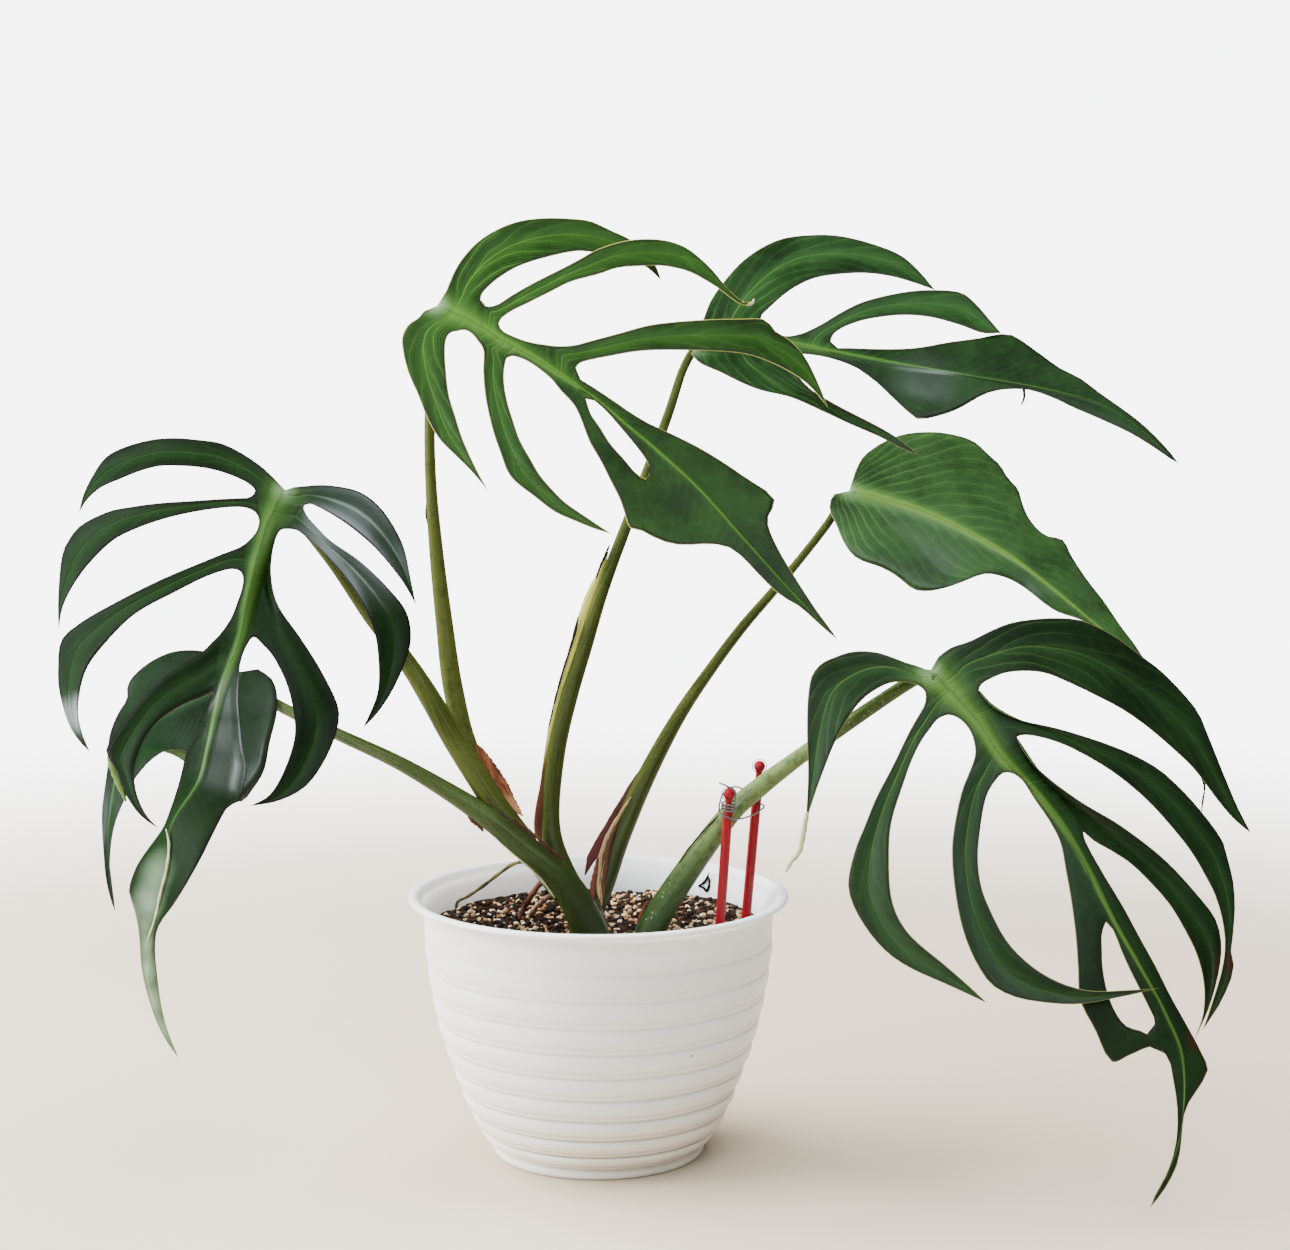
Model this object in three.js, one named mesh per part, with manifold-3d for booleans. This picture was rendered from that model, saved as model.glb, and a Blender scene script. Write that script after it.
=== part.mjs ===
// A potted flame monstera: a white ribbed pot of gritty soil, a short crown, six long petioles
// with their blades, papery sheaths, aerial roots, and two red stakes with a wire tie.
// Millimetres, +Z up. The origin is the centre of the pot's flat base, and -Y is the front.
import * as THREE from "three";
import Module from "manifold-3d";

const wasm = await Module();
wasm.setup();

// Driving dimensions
const POT_HEIGHT = 125;
const POT_RIM_RADIUS = 90;
const POT_RIM_DEPTH = 4;
const POT_RIM_WIDTH = 4.5;
const POT_WALL = 2.2;
const POT_FLOOR = 3;
const POT_BASE_RADIUS = 49;
const POT_SIDES = 40;
const SOIL_HEIGHT = 110;
const SOIL_GAP = 0.7;
const GRAIN_PITCH = 5.7;
const GRAIN_RELIEF = 1.5;
const BLADE_THICKNESS = 0.9;
const STAKE_RADIUS = 2.2;
const STAKE_SUNK = 62;
const WIRE_RADIUS = 0.4;
const CLEARANCE = 0.3;

// The view that the pixel places below are read in, 1290 x 1250: where it is seen from, how far
// it looks down, and its focal length in pixels.
const VIEW_CENTRE = { x: 645, y: 625 };
const VIEW_FROM = new THREE.Vector3(22, -1238, 395);
const VIEW_PITCH = THREE.MathUtils.degToRad(6.556);
const VIEW_FOCAL = 2654;

// The point at depth y on the line of sight through a pixel.
function sight(px, py, y) {
  const right = (px - VIEW_CENTRE.x) / VIEW_FOCAL;
  const up = -(py - VIEW_CENTRE.y) / VIEW_FOCAL;
  const ray = new THREE.Vector3(
    right,
    Math.cos(VIEW_PITCH) + up * Math.sin(VIEW_PITCH),
    up * Math.cos(VIEW_PITCH) - Math.sin(VIEW_PITCH),
  );
  return ray.multiplyScalar((y - VIEW_FROM.y) / ray.y).add(VIEW_FROM);
}

// How many millimetres a pixel spans at depth y.
function span(y) {
  return (y - VIEW_FROM.y) / VIEW_FOCAL;
}

// A repeatable draw between 0 and 1.
let seed = 20261;
function draw() {
  seed = (seed * 1103515245 + 12345) % 2147483648;
  return seed / 2147483648;
}

// A closed solid from points and triangles, turned to face out.
function solidOf(points, triangles) {
  const build = (triVerts) =>
    new wasm.Manifold(
      new wasm.Mesh({
        numProp: 3,
        vertProperties: new Float32Array(points.flatMap((p) => [p.x, p.y, p.z])),
        triVerts: new Uint32Array(triVerts),
      }),
    );
  const made = build(triangles.flat());
  return made.volume() > 0 ? made : build(triangles.map(([a, b, c]) => [a, c, b]).flat());
}

// The largest body of a solid that a cut has split.
function largest(solid) {
  return solid.decompose().reduce((a, b) => (b.volume() > a.volume() ? b : a));
}

// A solid skinned over rings of equal count, with a fan over each end.
function loft(rings) {
  const count = rings[0].length;
  const points = rings.flat();
  const triangles = [];
  for (let i = 0; i + 1 < rings.length; i++)
    for (let j = 0; j < count; j++) {
      const a = i * count + j;
      const b = i * count + ((j + 1) % count);
      triangles.push([a, b, b + count], [a, b + count, a + count]);
    }
  for (const [ring, flip] of [
    [0, true],
    [rings.length - 1, false],
  ]) {
    const centre = rings[ring].reduce((s, p) => s.add(p), new THREE.Vector3()).divideScalar(count);
    const hub = points.push(centre) - 1;
    for (let j = 0; j < count; j++) {
      const a = ring * count + j;
      const b = ring * count + ((j + 1) % count);
      triangles.push(flip ? [hub, b, a] : [hub, a, b]);
    }
  }
  return solidOf(points, triangles);
}

// Frames carried along a curve without twist: centre, side and up at each step.
function framesAlong(curve, steps) {
  const frames = curve.computeFrenetFrames(steps, false);
  return frames.tangents.map((tangent, i) => ({
    at: i / steps,
    centre: curve.getPointAt(i / steps),
    side: frames.normals[i],
    up: frames.binormals[i],
    tangent,
  }));
}

// The width at a fraction of the way along stops of [fraction, width].
function along(stops, t) {
  const next = Math.max(1, stops.findIndex((s) => s[0] >= t));
  const [t0, w0] = stops[next - 1];
  const [t1, w1] = stops[next];
  return w0 + ((w1 - w0) * (t - t0)) / (t1 - t0);
}

// A round solid along a curve, its radius given by stops.
function tube(curve, radii, steps, sides, grow = 0) {
  return loft(
    framesAlong(curve, steps).map((f) =>
      Array.from({ length: sides }, (_, j) => {
        const turn = (2 * Math.PI * j) / sides;
        const r = along(radii, f.at) + grow;
        return f.centre
          .clone()
          .addScaledVector(f.side, r * Math.cos(turn))
          .addScaledVector(f.up, r * Math.sin(turn));
      }),
    ),
  );
}

const plant = new THREE.Group();

function add(name, solid, color, roughness, metalness = 0) {
  const mesh = solid.getMesh();
  const geometry = new THREE.BufferGeometry();
  geometry.setAttribute("position", new THREE.BufferAttribute(mesh.vertProperties, 3));
  geometry.setIndex(new THREE.BufferAttribute(mesh.triVerts, 1));
  const piece = new THREE.Mesh(
    geometry,
    new THREE.MeshStandardMaterial({ color, roughness, metalness }),
  );
  piece.name = name;
  plant.add(piece);
}

// The pot: one moulded shell with a rolled rim, a bulged wall with ripples that deepen towards
// the foot, and a flat base.
const POT_WALL_STOPS = [
  [0, POT_BASE_RADIUS],
  [0.035, 51.6],
  [0.12, 58.2],
  [0.2, 63.2],
  [0.28, 66.9],
  [0.36, 70.5],
  [0.44, 74],
  [0.52, 76.7],
  [0.6, 78.6],
  [0.68, 80.4],
  [0.76, 81.6],
  [0.84, 82.6],
  [0.95, 83.2],
  [1, 83.5],
];
const RIPPLE_COUNT = 9;
const RIPPLE_DEPTH = 1.1;

function potRadius(z) {
  return along(POT_WALL_STOPS, THREE.MathUtils.clamp(z / POT_HEIGHT, 0, 1));
}

// The inner wall as stops of [height, radius].
const POT_INNER_STOPS = [
  [POT_FLOOR, POT_BASE_RADIUS - 1],
  ...[16, 44, 78, 117].map((z) => [z, potRadius(z) - POT_WALL]),
];

// Heights of the ripples' grooves, closer together towards the foot.
function rippleHeight(i) {
  return POT_HEIGHT * 0.035 + POT_HEIGHT * 0.78 * Math.pow(i / RIPPLE_COUNT, 1.25);
}

function potGeometry() {
  const profile = [
    [0, 0],
    [POT_BASE_RADIUS - 1, 0],
    [POT_BASE_RADIUS + 0.6, 1.2],
    [POT_BASE_RADIUS + 0.4, 3],
  ];
  for (let i = 0; i < RIPPLE_COUNT; i++) {
    const groove = rippleHeight(i);
    const crest = (groove + rippleHeight(i + 1)) / 2;
    const fade = 1 - (0.75 * i) / RIPPLE_COUNT;
    profile.push([potRadius(groove) - (i > 0 ? (RIPPLE_DEPTH * fade) / 2 : 0), groove]);
    profile.push([potRadius(crest) + (RIPPLE_DEPTH * fade) / 2, crest]);
  }
  const lip = POT_HEIGHT - POT_RIM_DEPTH;
  profile.push(
    [potRadius(POT_HEIGHT * 0.9), POT_HEIGHT * 0.9],
    [potRadius(lip), lip - 2],
    [POT_RIM_RADIUS - 1.2, lip],
    [POT_RIM_RADIUS, lip + 1.4],
    [POT_RIM_RADIUS, POT_HEIGHT - 1.2],
    [POT_RIM_RADIUS - 1.2, POT_HEIGHT],
    [POT_RIM_RADIUS - POT_RIM_WIDTH + 1, POT_HEIGHT],
    [POT_RIM_RADIUS - POT_RIM_WIDTH, POT_HEIGHT - 1],
  );
  profile.push(...POT_INNER_STOPS.toReversed().map(([z, r]) => [r, z]), [0, POT_FLOOR]);
  return new THREE.LatheGeometry(
    profile.map(([r, z]) => new THREE.Vector2(r, z)),
    POT_SIDES,
  ).rotateX(Math.PI / 2);
}

const pot = new THREE.Mesh(
  potGeometry(),
  new THREE.MeshStandardMaterial({ color: 0xebebee, roughness: 0.35, metalness: 0 }),
);
pot.name = "pot";
plant.add(pot);

// The petioles, each from the crown to its blade. A path point is [pixel x, pixel y, depth,
// width in pixels].
const PETIOLES = [
  {
    name: "petiole_1",
    color: 0x7c8030,
    path: [
      [588, 925, -13, 18],
      [572, 906, -12, 20],
      [535, 858, -5, 20],
      [497, 800, -2, 20],
      [468, 745, 1, 21],
      [453, 685, 6, 21],
      [445, 625, 11, 18],
      [437, 555, 17, 15],
      [431, 480, 23, 12],
      [430, 410, 27, 11],
      [433, 350, 28, 10],
      [439, 318, 25, 10],
      [446, 310, 18.5, 8],
    ],
  },
  {
    name: "petiole_2",
    color: 0x74792e,
    path: [
      [588, 925, -13, 16],
      [582, 900, -6, 18],
      [563, 862, 2, 20],
      [552, 815, 8, 19],
      [557, 750, 16, 19.5],
      [570, 695, 25, 18.5],
      [584, 650, 33, 16.5],
      [602, 592, 44, 14],
      [627, 525, 58, 12],
      [650, 465, 70, 11],
      [670, 410, 81, 10],
      [684, 368, 89, 9],
      [694, 351, 91, 9],
      [706, 346, 85, 7],
    ],
  },
  {
    name: "petiole_3",
    color: 0x5f6e2c,
    path: [
      [588, 925, -13, 16],
      [597, 906, -7, 18],
      [606, 880, 2, 21],
      [620, 838, 11, 22],
      [646, 778, 24, 20],
      [680, 715, 39, 15],
      [712, 668, 52, 12],
      [742, 628, 64, 11],
      [773, 592, 76, 10],
      [803, 556, 88, 9],
      [827, 525, 99, 9],
      [843, 502, 106, 8],
      [856, 493, 100.5, 6],
    ],
  },
  {
    name: "petiole_4",
    color: 0x93a06a,
    path: [
      [636, 975, -18, 30],
      [650, 930, -18, 31],
      [664, 902, -14, 29],
      [700, 850, -4, 26],
      [735, 809, 2, 22],
      [762, 786, 3, 20],
      [800, 757, -3, 17],
      [842, 728, -10, 16],
      [880, 702, -16, 15],
      [908, 684, -20, 14],
      [926, 675, -22, 12],
      [936, 678, -28, 9],
    ],
  },
  {
    name: "petiole_5",
    color: 0x6c7a38,
    path: [
      [586, 922, -14, 20],
      [560, 890, -19, 22],
      [520, 836, -19, 25],
      [495, 803, -17, 25],
      [475, 772, -15, 25],
      [452, 735, -13, 24],
      [430, 697, -11, 22],
      [406, 660, -8, 19],
      [372, 617, -4, 17],
      [337, 566, 0, 15],
      [302, 520, 2, 14],
      [289, 497, -3, 13],
      [281, 499, -11, 9],
    ],
  },
  {
    name: "petiole_6",
    color: 0x5f7040,
    path: [
      [598, 972, -22, 34],
      [592, 935, -23, 38],
      [577, 905, -25, 38],
      [556, 877, -26, 37],
      [528, 849, -25, 33],
      [500, 825, -24, 28],
      [450, 792, -17, 19],
      [400, 763, -4, 15],
      [336, 733, 20, 13],
      [282, 707, 46, 12],
      [258, 693, 56, 11],
      [240, 683, 60, 11],
      [229, 678, 59, 10],
      [222, 680, 51, 8],
    ],
  },
];
const PETIOLE_STEPS = 17;
const PETIOLE_SIDES = 8;

function pathCurve(path) {
  return new THREE.CatmullRomCurve3(
    path.map(([x, y, depth]) => sight(x, y, depth)),
    false,
    "centripetal",
  );
}

// Widths in pixels made radii in millimetres, at their fractions along the curve.
function pathRadii(path) {
  const points = path.map(([x, y, depth]) => sight(x, y, depth));
  const run = [0];
  for (let i = 1; i < points.length; i++) run.push(run[i - 1] + points[i].distanceTo(points[i - 1]));
  return path.map(([, , depth, width], i) => [run[i] / run.at(-1), (width * span(depth)) / 2]);
}

function petiole(spec, grow = 0) {
  return tube(pathCurve(spec.path), pathRadii(spec.path), PETIOLE_STEPS, PETIOLE_SIDES, grow);
}

// The blades. Each blade is one sheet: a midrib, and segments on both sides of it that take a run
// of the midrib's points as their root. A lobe runs out from its root to a tip between a near and
// a far edge, and each edge goes first to the end of the cut beside it. A ribbon follows the
// midrib, and what lies beyond it, between one cut and the point where its margin meets it.
// lean is how far the sheet goes back for each pixel right and down, bow how far its middle
// stands forward, fold how far a pixel off the midrib stands forward, droop how far a segment
// falls back by 100 pixels off the midrib, and lift how far back a lobe's tip is set.
const RIBBON_ROWS = 2;
const LOBE_ROWS = 7;
const BLADES = [
  {
    name: "leaf_1",
    color: 0x3c6423,
    depth: 20,
    lean: [-0.04, -0.25],
    bow: 8,
    fold: 0.06,
    droop: 9,
    midrib: [
      [437, 306],
      [453, 313],
      [470, 321],
      [487, 331],
      [503, 341],
      [521, 351],
      [540, 362],
      [560, 375],
      [580, 388],
      [620, 420],
      [660, 453],
      [700, 490],
      [745, 540],
      [790, 590],
      [837, 639],
    ],
    lobes: [
      {
        root: [0, 2],
        near: [[446, 291], [460, 262], [480, 240], [520, 221], [575, 219], [631, 240]],
        far: [[481, 301], [500, 277], [547, 257], [592, 251], [630, 257]],
        tip: [659, 280],
        lift: 14,
      },
      {
        root: [2, 4],
        near: [[481, 301], [512, 295], [559, 270], [613, 244], [668, 241], [715, 273], [738, 300]],
        far: [[500, 323], [530, 302], [570, 282], [617, 268], [665, 266], [705, 280], [733, 301]],
        tip: [751, 302],
        lift: -4,
      },
      {
        root: [4, 6],
        cut: [500, 323],
        margin: [{ to: [[522, 337], [548, 345]], steps: 2 }],
      },
      {
        root: [6, 8],
        near: [[548, 345], [575, 345], [620, 333], [700, 320], [766, 320], [805, 357]],
        far: [[576, 368], [610, 356], [680, 350], [730, 352], [770, 362], [806, 383]],
        tip: [827, 407],
      },
      {
        root: [8, 14],
        cut: [576, 368],
        margin: [
          { to: [[600, 391], [650, 424], [700, 448], [745, 477], [775, 500]], steps: 3 },
          { to: [[768, 518], [780, 552], [795, 577], [815, 608], [837, 639]], steps: 3 },
        ],
      },
      {
        root: [0, 2],
        near: [[424, 311], [404, 330], [403, 355], [418, 395], [440, 440], [465, 468]],
        far: [[458, 331], [447, 340], [446, 370], [455, 415], [470, 453]],
        tip: [489, 492],
      },
      {
        root: [2, 3],
        cut: [458, 331],
        margin: [{ to: [[477, 339]], steps: 1 }],
      },
      {
        root: [3, 5],
        near: [[477, 339], [484, 370], [492, 428], [510, 476], [555, 512]],
        far: [[507, 358], [504, 380], [513, 420], [530, 458], [560, 498]],
        tip: [612, 534],
      },
      {
        root: [5, 8],
        beyond: [
          { to: [[586, 399]], steps: RIBBON_ROWS },
          { to: [[600, 427], [625, 460], [646, 478]], steps: 3 },
          { to: [[642, 531]], steps: 1 },
        ],
        cut: [507, 358],
        margin: [
          { to: [[550, 378], [575, 407], [600, 460], [620, 500], [630, 528]], steps: 8 },
          { to: [[642, 531]], steps: 1 },
        ],
      },
      {
        root: [8, 14],
        cut: [586, 399],
        margin: [
          { to: [[605, 410], [635, 445], [646, 478]], steps: 2 },
          { to: [[642, 531]], steps: 1 },
          { to: [[665, 542], [710, 544], [735, 551], [760, 576], [800, 607], [837, 639]], steps: 3 },
        ],
      },
    ],
  },
  {
    name: "leaf_2",
    color: 0x2c5230,
    depth: 86,
    lean: [-0.02, -0.3],
    bow: 10,
    fold: 0.05,
    droop: 10,
    midrib: [
      [697, 346],
      [721, 344],
      [745, 343],
      [768, 343],
      [790, 344],
      [810, 348],
      [830, 352],
      [880, 361],
      [930, 370],
      [980, 379],
      [1050, 391],
      [1110, 409],
      [1178, 463],
    ],
    lobes: [
      {
        root: [0, 2],
        near: [[699, 330], [722, 284], [745, 259], [778, 240], [840, 236], [902, 256]],
        far: [[763, 322], [780, 298], [815, 278], [865, 273], [910, 281]],
        tip: [935, 290],
        lift: 10,
      },
      {
        root: [2, 4],
        cut: [763, 322],
        margin: [{ to: [[782, 331], [800, 333]], steps: 2 }],
      },
      {
        root: [4, 6],
        near: [[800, 333], [820, 325], [860, 303], [905, 292], [962, 293]],
        far: [[831, 342], [845, 327], [880, 317], [930, 317], [975, 330]],
        tip: [1001, 333],
        lift: -3,
      },
      {
        root: [6, 12],
        cut: [831, 342],
        margin: [
          { to: [[885, 349], [915, 348], [950, 342], [1012, 335]], steps: 3 },
          { to: [[1060, 368], [1100, 393], [1140, 422], [1178, 463]], steps: 3 },
        ],
      },
      {
        root: [0, 4],
        near: [[691, 354], [720, 372], [760, 390], [820, 410], [880, 436]],
        far: [[790, 356], [800, 378], [828, 400], [870, 422]],
        tip: [920, 456],
        lift: 6,
      },
      {
        root: [4, 12],
        cut: [790, 356],
        margin: [
          { to: [[825, 360], [865, 373]], steps: 2 },
          { to: [[917, 419]], steps: 1 },
          { to: [[945, 414], [985, 397], [1035, 396], [1070, 408], [1130, 433], [1178, 463]], steps: 5 },
        ],
      },
    ],
  },
  {
    name: "leaf_3",
    color: 0x2f5e2e,
    depth: 101,
    lean: [0.1, -0.27],
    bow: 9,
    fold: 0.08,
    droop: 16,
    wave: 2.2,
    midrib: [
      [849, 491],
      [880, 499],
      [910, 508],
      [945, 522],
      [980, 540],
      [1015, 561],
      [1050, 588],
      [1085, 617],
      [1120, 648],
      [1160, 705],
      [1203, 800],
    ],
    lobes: [
      {
        root: [0, 10],
        cut: [859, 464],
        margin: [
          { to: [[890, 439], [925, 432], [973, 441], [1008, 478], [1030, 520], [1063, 540]], steps: 6 },
          { to: [[1086, 578], [1140, 652], [1203, 800]], steps: 4 },
        ],
      },
      {
        root: [0, 10],
        cut: [832, 496],
        margin: [
          { to: [[835, 522], [850, 552], [880, 567], [915, 590], [945, 588], [985, 574]], steps: 5 },
          { to: [[1030, 592], [1080, 618], [1150, 700], [1203, 800]], steps: 5 },
        ],
      },
    ],
  },
  {
    name: "leaf_4",
    color: 0x2f5634,
    depth: -26,
    lean: [0, -0.16],
    bow: 10,
    fold: 0.05,
    droop: 10,
    midrib: [
      [930, 671],
      [936, 677],
      [943, 684],
      [950, 691],
      [957, 698],
      [967, 710],
      [978, 722],
      [995, 748],
      [1012, 769],
      [1040, 799],
      [1066, 832],
      [1092, 878],
      [1112, 917],
      [1140, 967],
      [1165, 1013],
      [1181, 1055],
      [1176, 1140],
      [1150, 1208],
    ],
    lobes: [
      {
        root: [0, 4],
        near: [[941, 654], [970, 641], [1060, 618], [1140, 655], [1198, 712], [1222, 770]],
        far: [[979, 690], [1005, 673], [1070, 683], [1145, 725], [1220, 803]],
        tip: [1251, 833],
      },
      {
        root: [4, 7],
        near: [[979, 690], [1000, 711], [1055, 728], [1110, 745], [1180, 788], [1225, 850], [1235, 968]],
        far: [[1017, 737], [1060, 743], [1130, 785], [1190, 850], [1222, 920], [1228, 965]],
        tip: [1203, 1030],
        lift: -5,
      },
      {
        root: [7, 10],
        near: [[1017, 737], [1045, 775], [1120, 825], [1165, 860], [1212, 918], [1217, 975]],
        far: [[1083, 832], [1130, 863], [1170, 905], [1197, 955], [1202, 1015]],
        tip: [1194, 1041],
        lift: 4,
      },
      {
        root: [10, 17],
        cut: [1083, 832],
        margin: [
          { to: [[1100, 868], [1140, 938], [1170, 995], [1208, 1070]], steps: 5 },
          { to: [[1185, 1108], [1180, 1145], [1166, 1185], [1150, 1208]], steps: 2 },
        ],
      },
      {
        root: [0, 2],
        near: [[916, 665], [865, 651], [822, 663], [808, 715], [808, 765]],
        far: [[925, 692], [890, 683], [862, 700], [836, 740], [820, 780]],
        tip: [806, 822],
      },
      {
        root: [2, 4],
        near: [[925, 692], [910, 730], [865, 825], [850, 895], [890, 955], [950, 985]],
        far: [[948, 716], [912, 760], [890, 830], [891, 895], [925, 950]],
        tip: [987, 1003],
      },
      {
        root: [4, 6],
        cut: [948, 716],
        margin: [{ to: [[962, 721], [973, 739]], steps: 2 }],
      },
      {
        root: [6, 8],
        near: [[973, 739], [962, 790], [952, 860], [972, 960], [1050, 1003]],
        far: [[1011, 775], [987, 795], [978, 860], [1010, 945], [1085, 992]],
        tip: [1160, 988],
        lift: -7,
      },
      {
        root: [8, 12],
        beyond: [
          { to: [[1106, 922]], steps: RIBBON_ROWS },
          { to: [[1102, 945], [1110, 1000], [1147, 1034]], steps: 3 },
          { to: [[1150, 1047]], steps: 1 },
        ],
        cut: [1011, 775],
        margin: [
          { to: [[1050, 822], [1066, 872]], steps: 5 },
          { to: [[1077, 945], [1080, 1000], [1112, 1062]], steps: 3 },
          { to: [[1130, 1055], [1150, 1047]], steps: 2 },
        ],
      },
      {
        root: [12, 17],
        cut: [1106, 922],
        margin: [
          { to: [[1118, 945], [1137, 985], [1147, 1034]], steps: 2 },
          { to: [[1150, 1047]], steps: 1 },
          { to: [[1165, 1060], [1170, 1100], [1163, 1165], [1150, 1208]], steps: 2 },
        ],
      },
    ],
  },
  {
    name: "leaf_5",
    color: 0x2b5038,
    depth: -10,
    lean: [0, -0.13],
    bow: 8,
    fold: 0.05,
    droop: 9,
    midrib: [
      [285, 490],
      [282, 496],
      [279, 502],
      [274, 513],
      [268, 526],
      [263, 542],
      [257, 562],
      [252, 582],
      [246, 610],
      [241, 638],
      [222, 690],
      [209, 745],
      [199, 782],
      [172, 826],
      [168, 868],
      [153, 926],
      [148, 970],
      [161, 1020],
      [178, 1057],
    ],
    lobes: [
      {
        root: [0, 2],
        near: [[270, 474], [240, 452], [175, 438], [120, 449], [92, 477]],
        far: [[254, 492], [205, 468], [160, 466], [110, 482]],
        tip: [79, 513],
      },
      {
        root: [2, 4],
        near: [[254, 492], [220, 499], [130, 507], [80, 526], [57, 590]],
        far: [[258, 525], [205, 510], [160, 520], [105, 547], [67, 598]],
        tip: [57, 630],
      },
      {
        root: [4, 5],
        cut: [258, 525],
        margin: [{ to: [[247, 542]], steps: 1 }],
      },
      {
        root: [5, 7],
        near: [[247, 542], [160, 580], [80, 623], [57, 650], [70, 727]],
        far: [[243, 577], [210, 575], [135, 614], [86, 670], [80, 725]],
        tip: [90, 752],
      },
      {
        root: [7, 9],
        cut: [243, 577],
        margin: [{ to: [[234, 610], [218, 637]], steps: 2 }],
      },
      {
        root: [9, 10],
        near: [[218, 637], [165, 680], [125, 715], [106, 755], [126, 803]],
        far: [[214, 692], [178, 707], [145, 738], [134, 772], [141, 805]],
        tip: [160, 829],
        lift: -3,
      },
      {
        root: [10, 18],
        cut: [214, 692],
        margin: [
          { to: [[204, 721], [187, 751], [180, 779], [164, 825]], steps: 3 },
          { to: [[139, 862], [129, 893]], steps: 2 },
          { to: [[139, 940], [144, 990], [160, 1035], [178, 1057]], steps: 3 },
        ],
      },
      {
        root: [0, 2],
        near: [[297, 486], [325, 485], [370, 498], [403, 545]],
        far: [[303, 508], [345, 523], [375, 548], [402, 583]],
        tip: [416, 605],
      },
      {
        root: [2, 4],
        near: [[303, 508], [330, 540], [390, 590], [411, 640], [390, 695]],
        far: [[298, 532], [357, 595], [379, 665], [374, 708]],
        tip: [363, 728],
      },
      {
        root: [4, 5],
        cut: [298, 532],
        margin: [{ to: [[277, 537]], steps: 1 }],
      },
      {
        root: [5, 9],
        near: [[277, 537], [271, 575], [300, 637], [339, 710], [325, 760], [290, 797]],
        far: [[250, 640], [272, 655], [290, 690], [293, 745], [272, 786]],
        tip: [250, 806],
      },
      {
        root: [9, 18],
        cut: [250, 640],
        margin: [
          { to: [[239, 675], [240, 725], [247, 768], [240, 801]], steps: 3 },
          { to: [[229, 807], [200, 860], [158, 927], [157, 975], [178, 1057]], steps: 6 },
        ],
        lift: -9,
      },
    ],
  },
  {
    name: "leaf_6",
    color: 0x35583a,
    depth: 51,
    lean: [0, -0.2],
    bow: 6,
    fold: 0.08,
    droop: 14,
    wave: 1.5,
    midrib: [
      [226, 674],
      [202, 684],
      [177, 698],
      [153, 715],
      [134, 738],
      [120, 765],
      [112, 800],
      [108, 850],
      [115, 911],
    ],
    lobes: [
      {
        root: [0, 8],
        cut: [203, 651],
        margin: [
          { to: [[175, 652], [145, 667], [126, 690], [106, 745]], steps: 4 },
          { to: [[102, 820], [107, 880], [115, 911]], steps: 4 },
        ],
      },
      {
        root: [0, 8],
        cut: [258, 667],
        margin: [
          { to: [[277, 694], [270, 742], [241, 802]], steps: 3 },
          { to: [[187, 753], [158, 755], [135, 779], [114, 835], [115, 911]], steps: 5 },
        ],
        lift: -9,
      },
    ],
  },
];
// Points along a polyline, rounded into a curve where it has more than two. The steps grow along
// it by the power ease.
function spaced(points, count, ease = 1) {
  const curve = new THREE.SplineCurve(points.map(([x, y]) => new THREE.Vector2(x, y)));
  return Array.from({ length: count + 1 }, (_, i) => {
    if (i === 0) return points[0];
    if (i === count) return points.at(-1);
    const t = (i / count) ** ease;
    if (points.length > 2) return curve.getPointAt(t).toArray();
    const [[x0, y0], [x1, y1]] = points;
    return [x0 + (x1 - x0) * t, y0 + (y1 - y0) * t];
  });
}

// A line of stretches from a start point.
function stretched(line, stretches) {
  const out = [...line];
  for (const { to, steps } of stretches) out.push(...spaced([out.at(-1), ...to], steps).slice(1));
  return out;
}

// How far back the blade's sheet is at a pixel.
function sheetDepth(blade, [x, y]) {
  const [bx, by] = blade.midrib[0];
  const [tx, ty] = blade.midrib.at(-1);
  const length = Math.hypot(tx - bx, ty - by);
  const way = ((x - bx) * (tx - bx) + (y - by) * (ty - by)) / length ** 2;
  const off = ((x - bx) * (ty - by) - (y - by) * (tx - bx)) / length;
  return (
    blade.depth +
    blade.lean[0] * (x - bx) +
    blade.lean[1] * (y - by) -
    blade.bow * 4 * way * (1 - way) -
    blade.fold * Math.abs(off) +
    blade.droop * (off / 100) ** 2
  );
}

// A lobe's grid of points [pixel x, pixel y, extra depth], from its root out to its tip. Its
// middle is sunk into a gutter along the vein.
const GUTTER = 0.07;

function lobeGrid(lobe, midrib) {
  const root = midrib.slice(lobe.root[0], lobe.root[1] + 1);
  const columns = root.length - 1;
  const edge = (start, [cut, ...free]) => [
    ...spaced([start, cut], RIBBON_ROWS),
    ...spaced([cut, ...free, lobe.tip], LOBE_ROWS, 1.25).slice(1),
  ];
  const near = edge(root[0], lobe.near);
  const far = edge(root[columns], lobe.far);
  const rows = near.length - 1;
  return near.map((from, r) =>
    root.map((base, c) => {
      const u = c / columns;
      const v = r / rows;
      const back = (lobe.lift ?? 0) * v * v;
      if (r === 0) return [...base, 0];
      if (c === 0) return [...from, back];
      if (c === columns) return [...far[r], back];
      const at = [0, 1].map(
        (k) =>
          (1 - u) * from[k] +
          u * far[r][k] +
          (1 - v) * (base[k] - (1 - u) * root[0][k] - u * root[columns][k]),
      );
      const width = Math.hypot(from[0] - far[r][0], from[1] - far[r][1]);
      return [...at, back + GUTTER * width * (1 - Math.abs(2 * u - 1))];
    }),
  );
}

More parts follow.
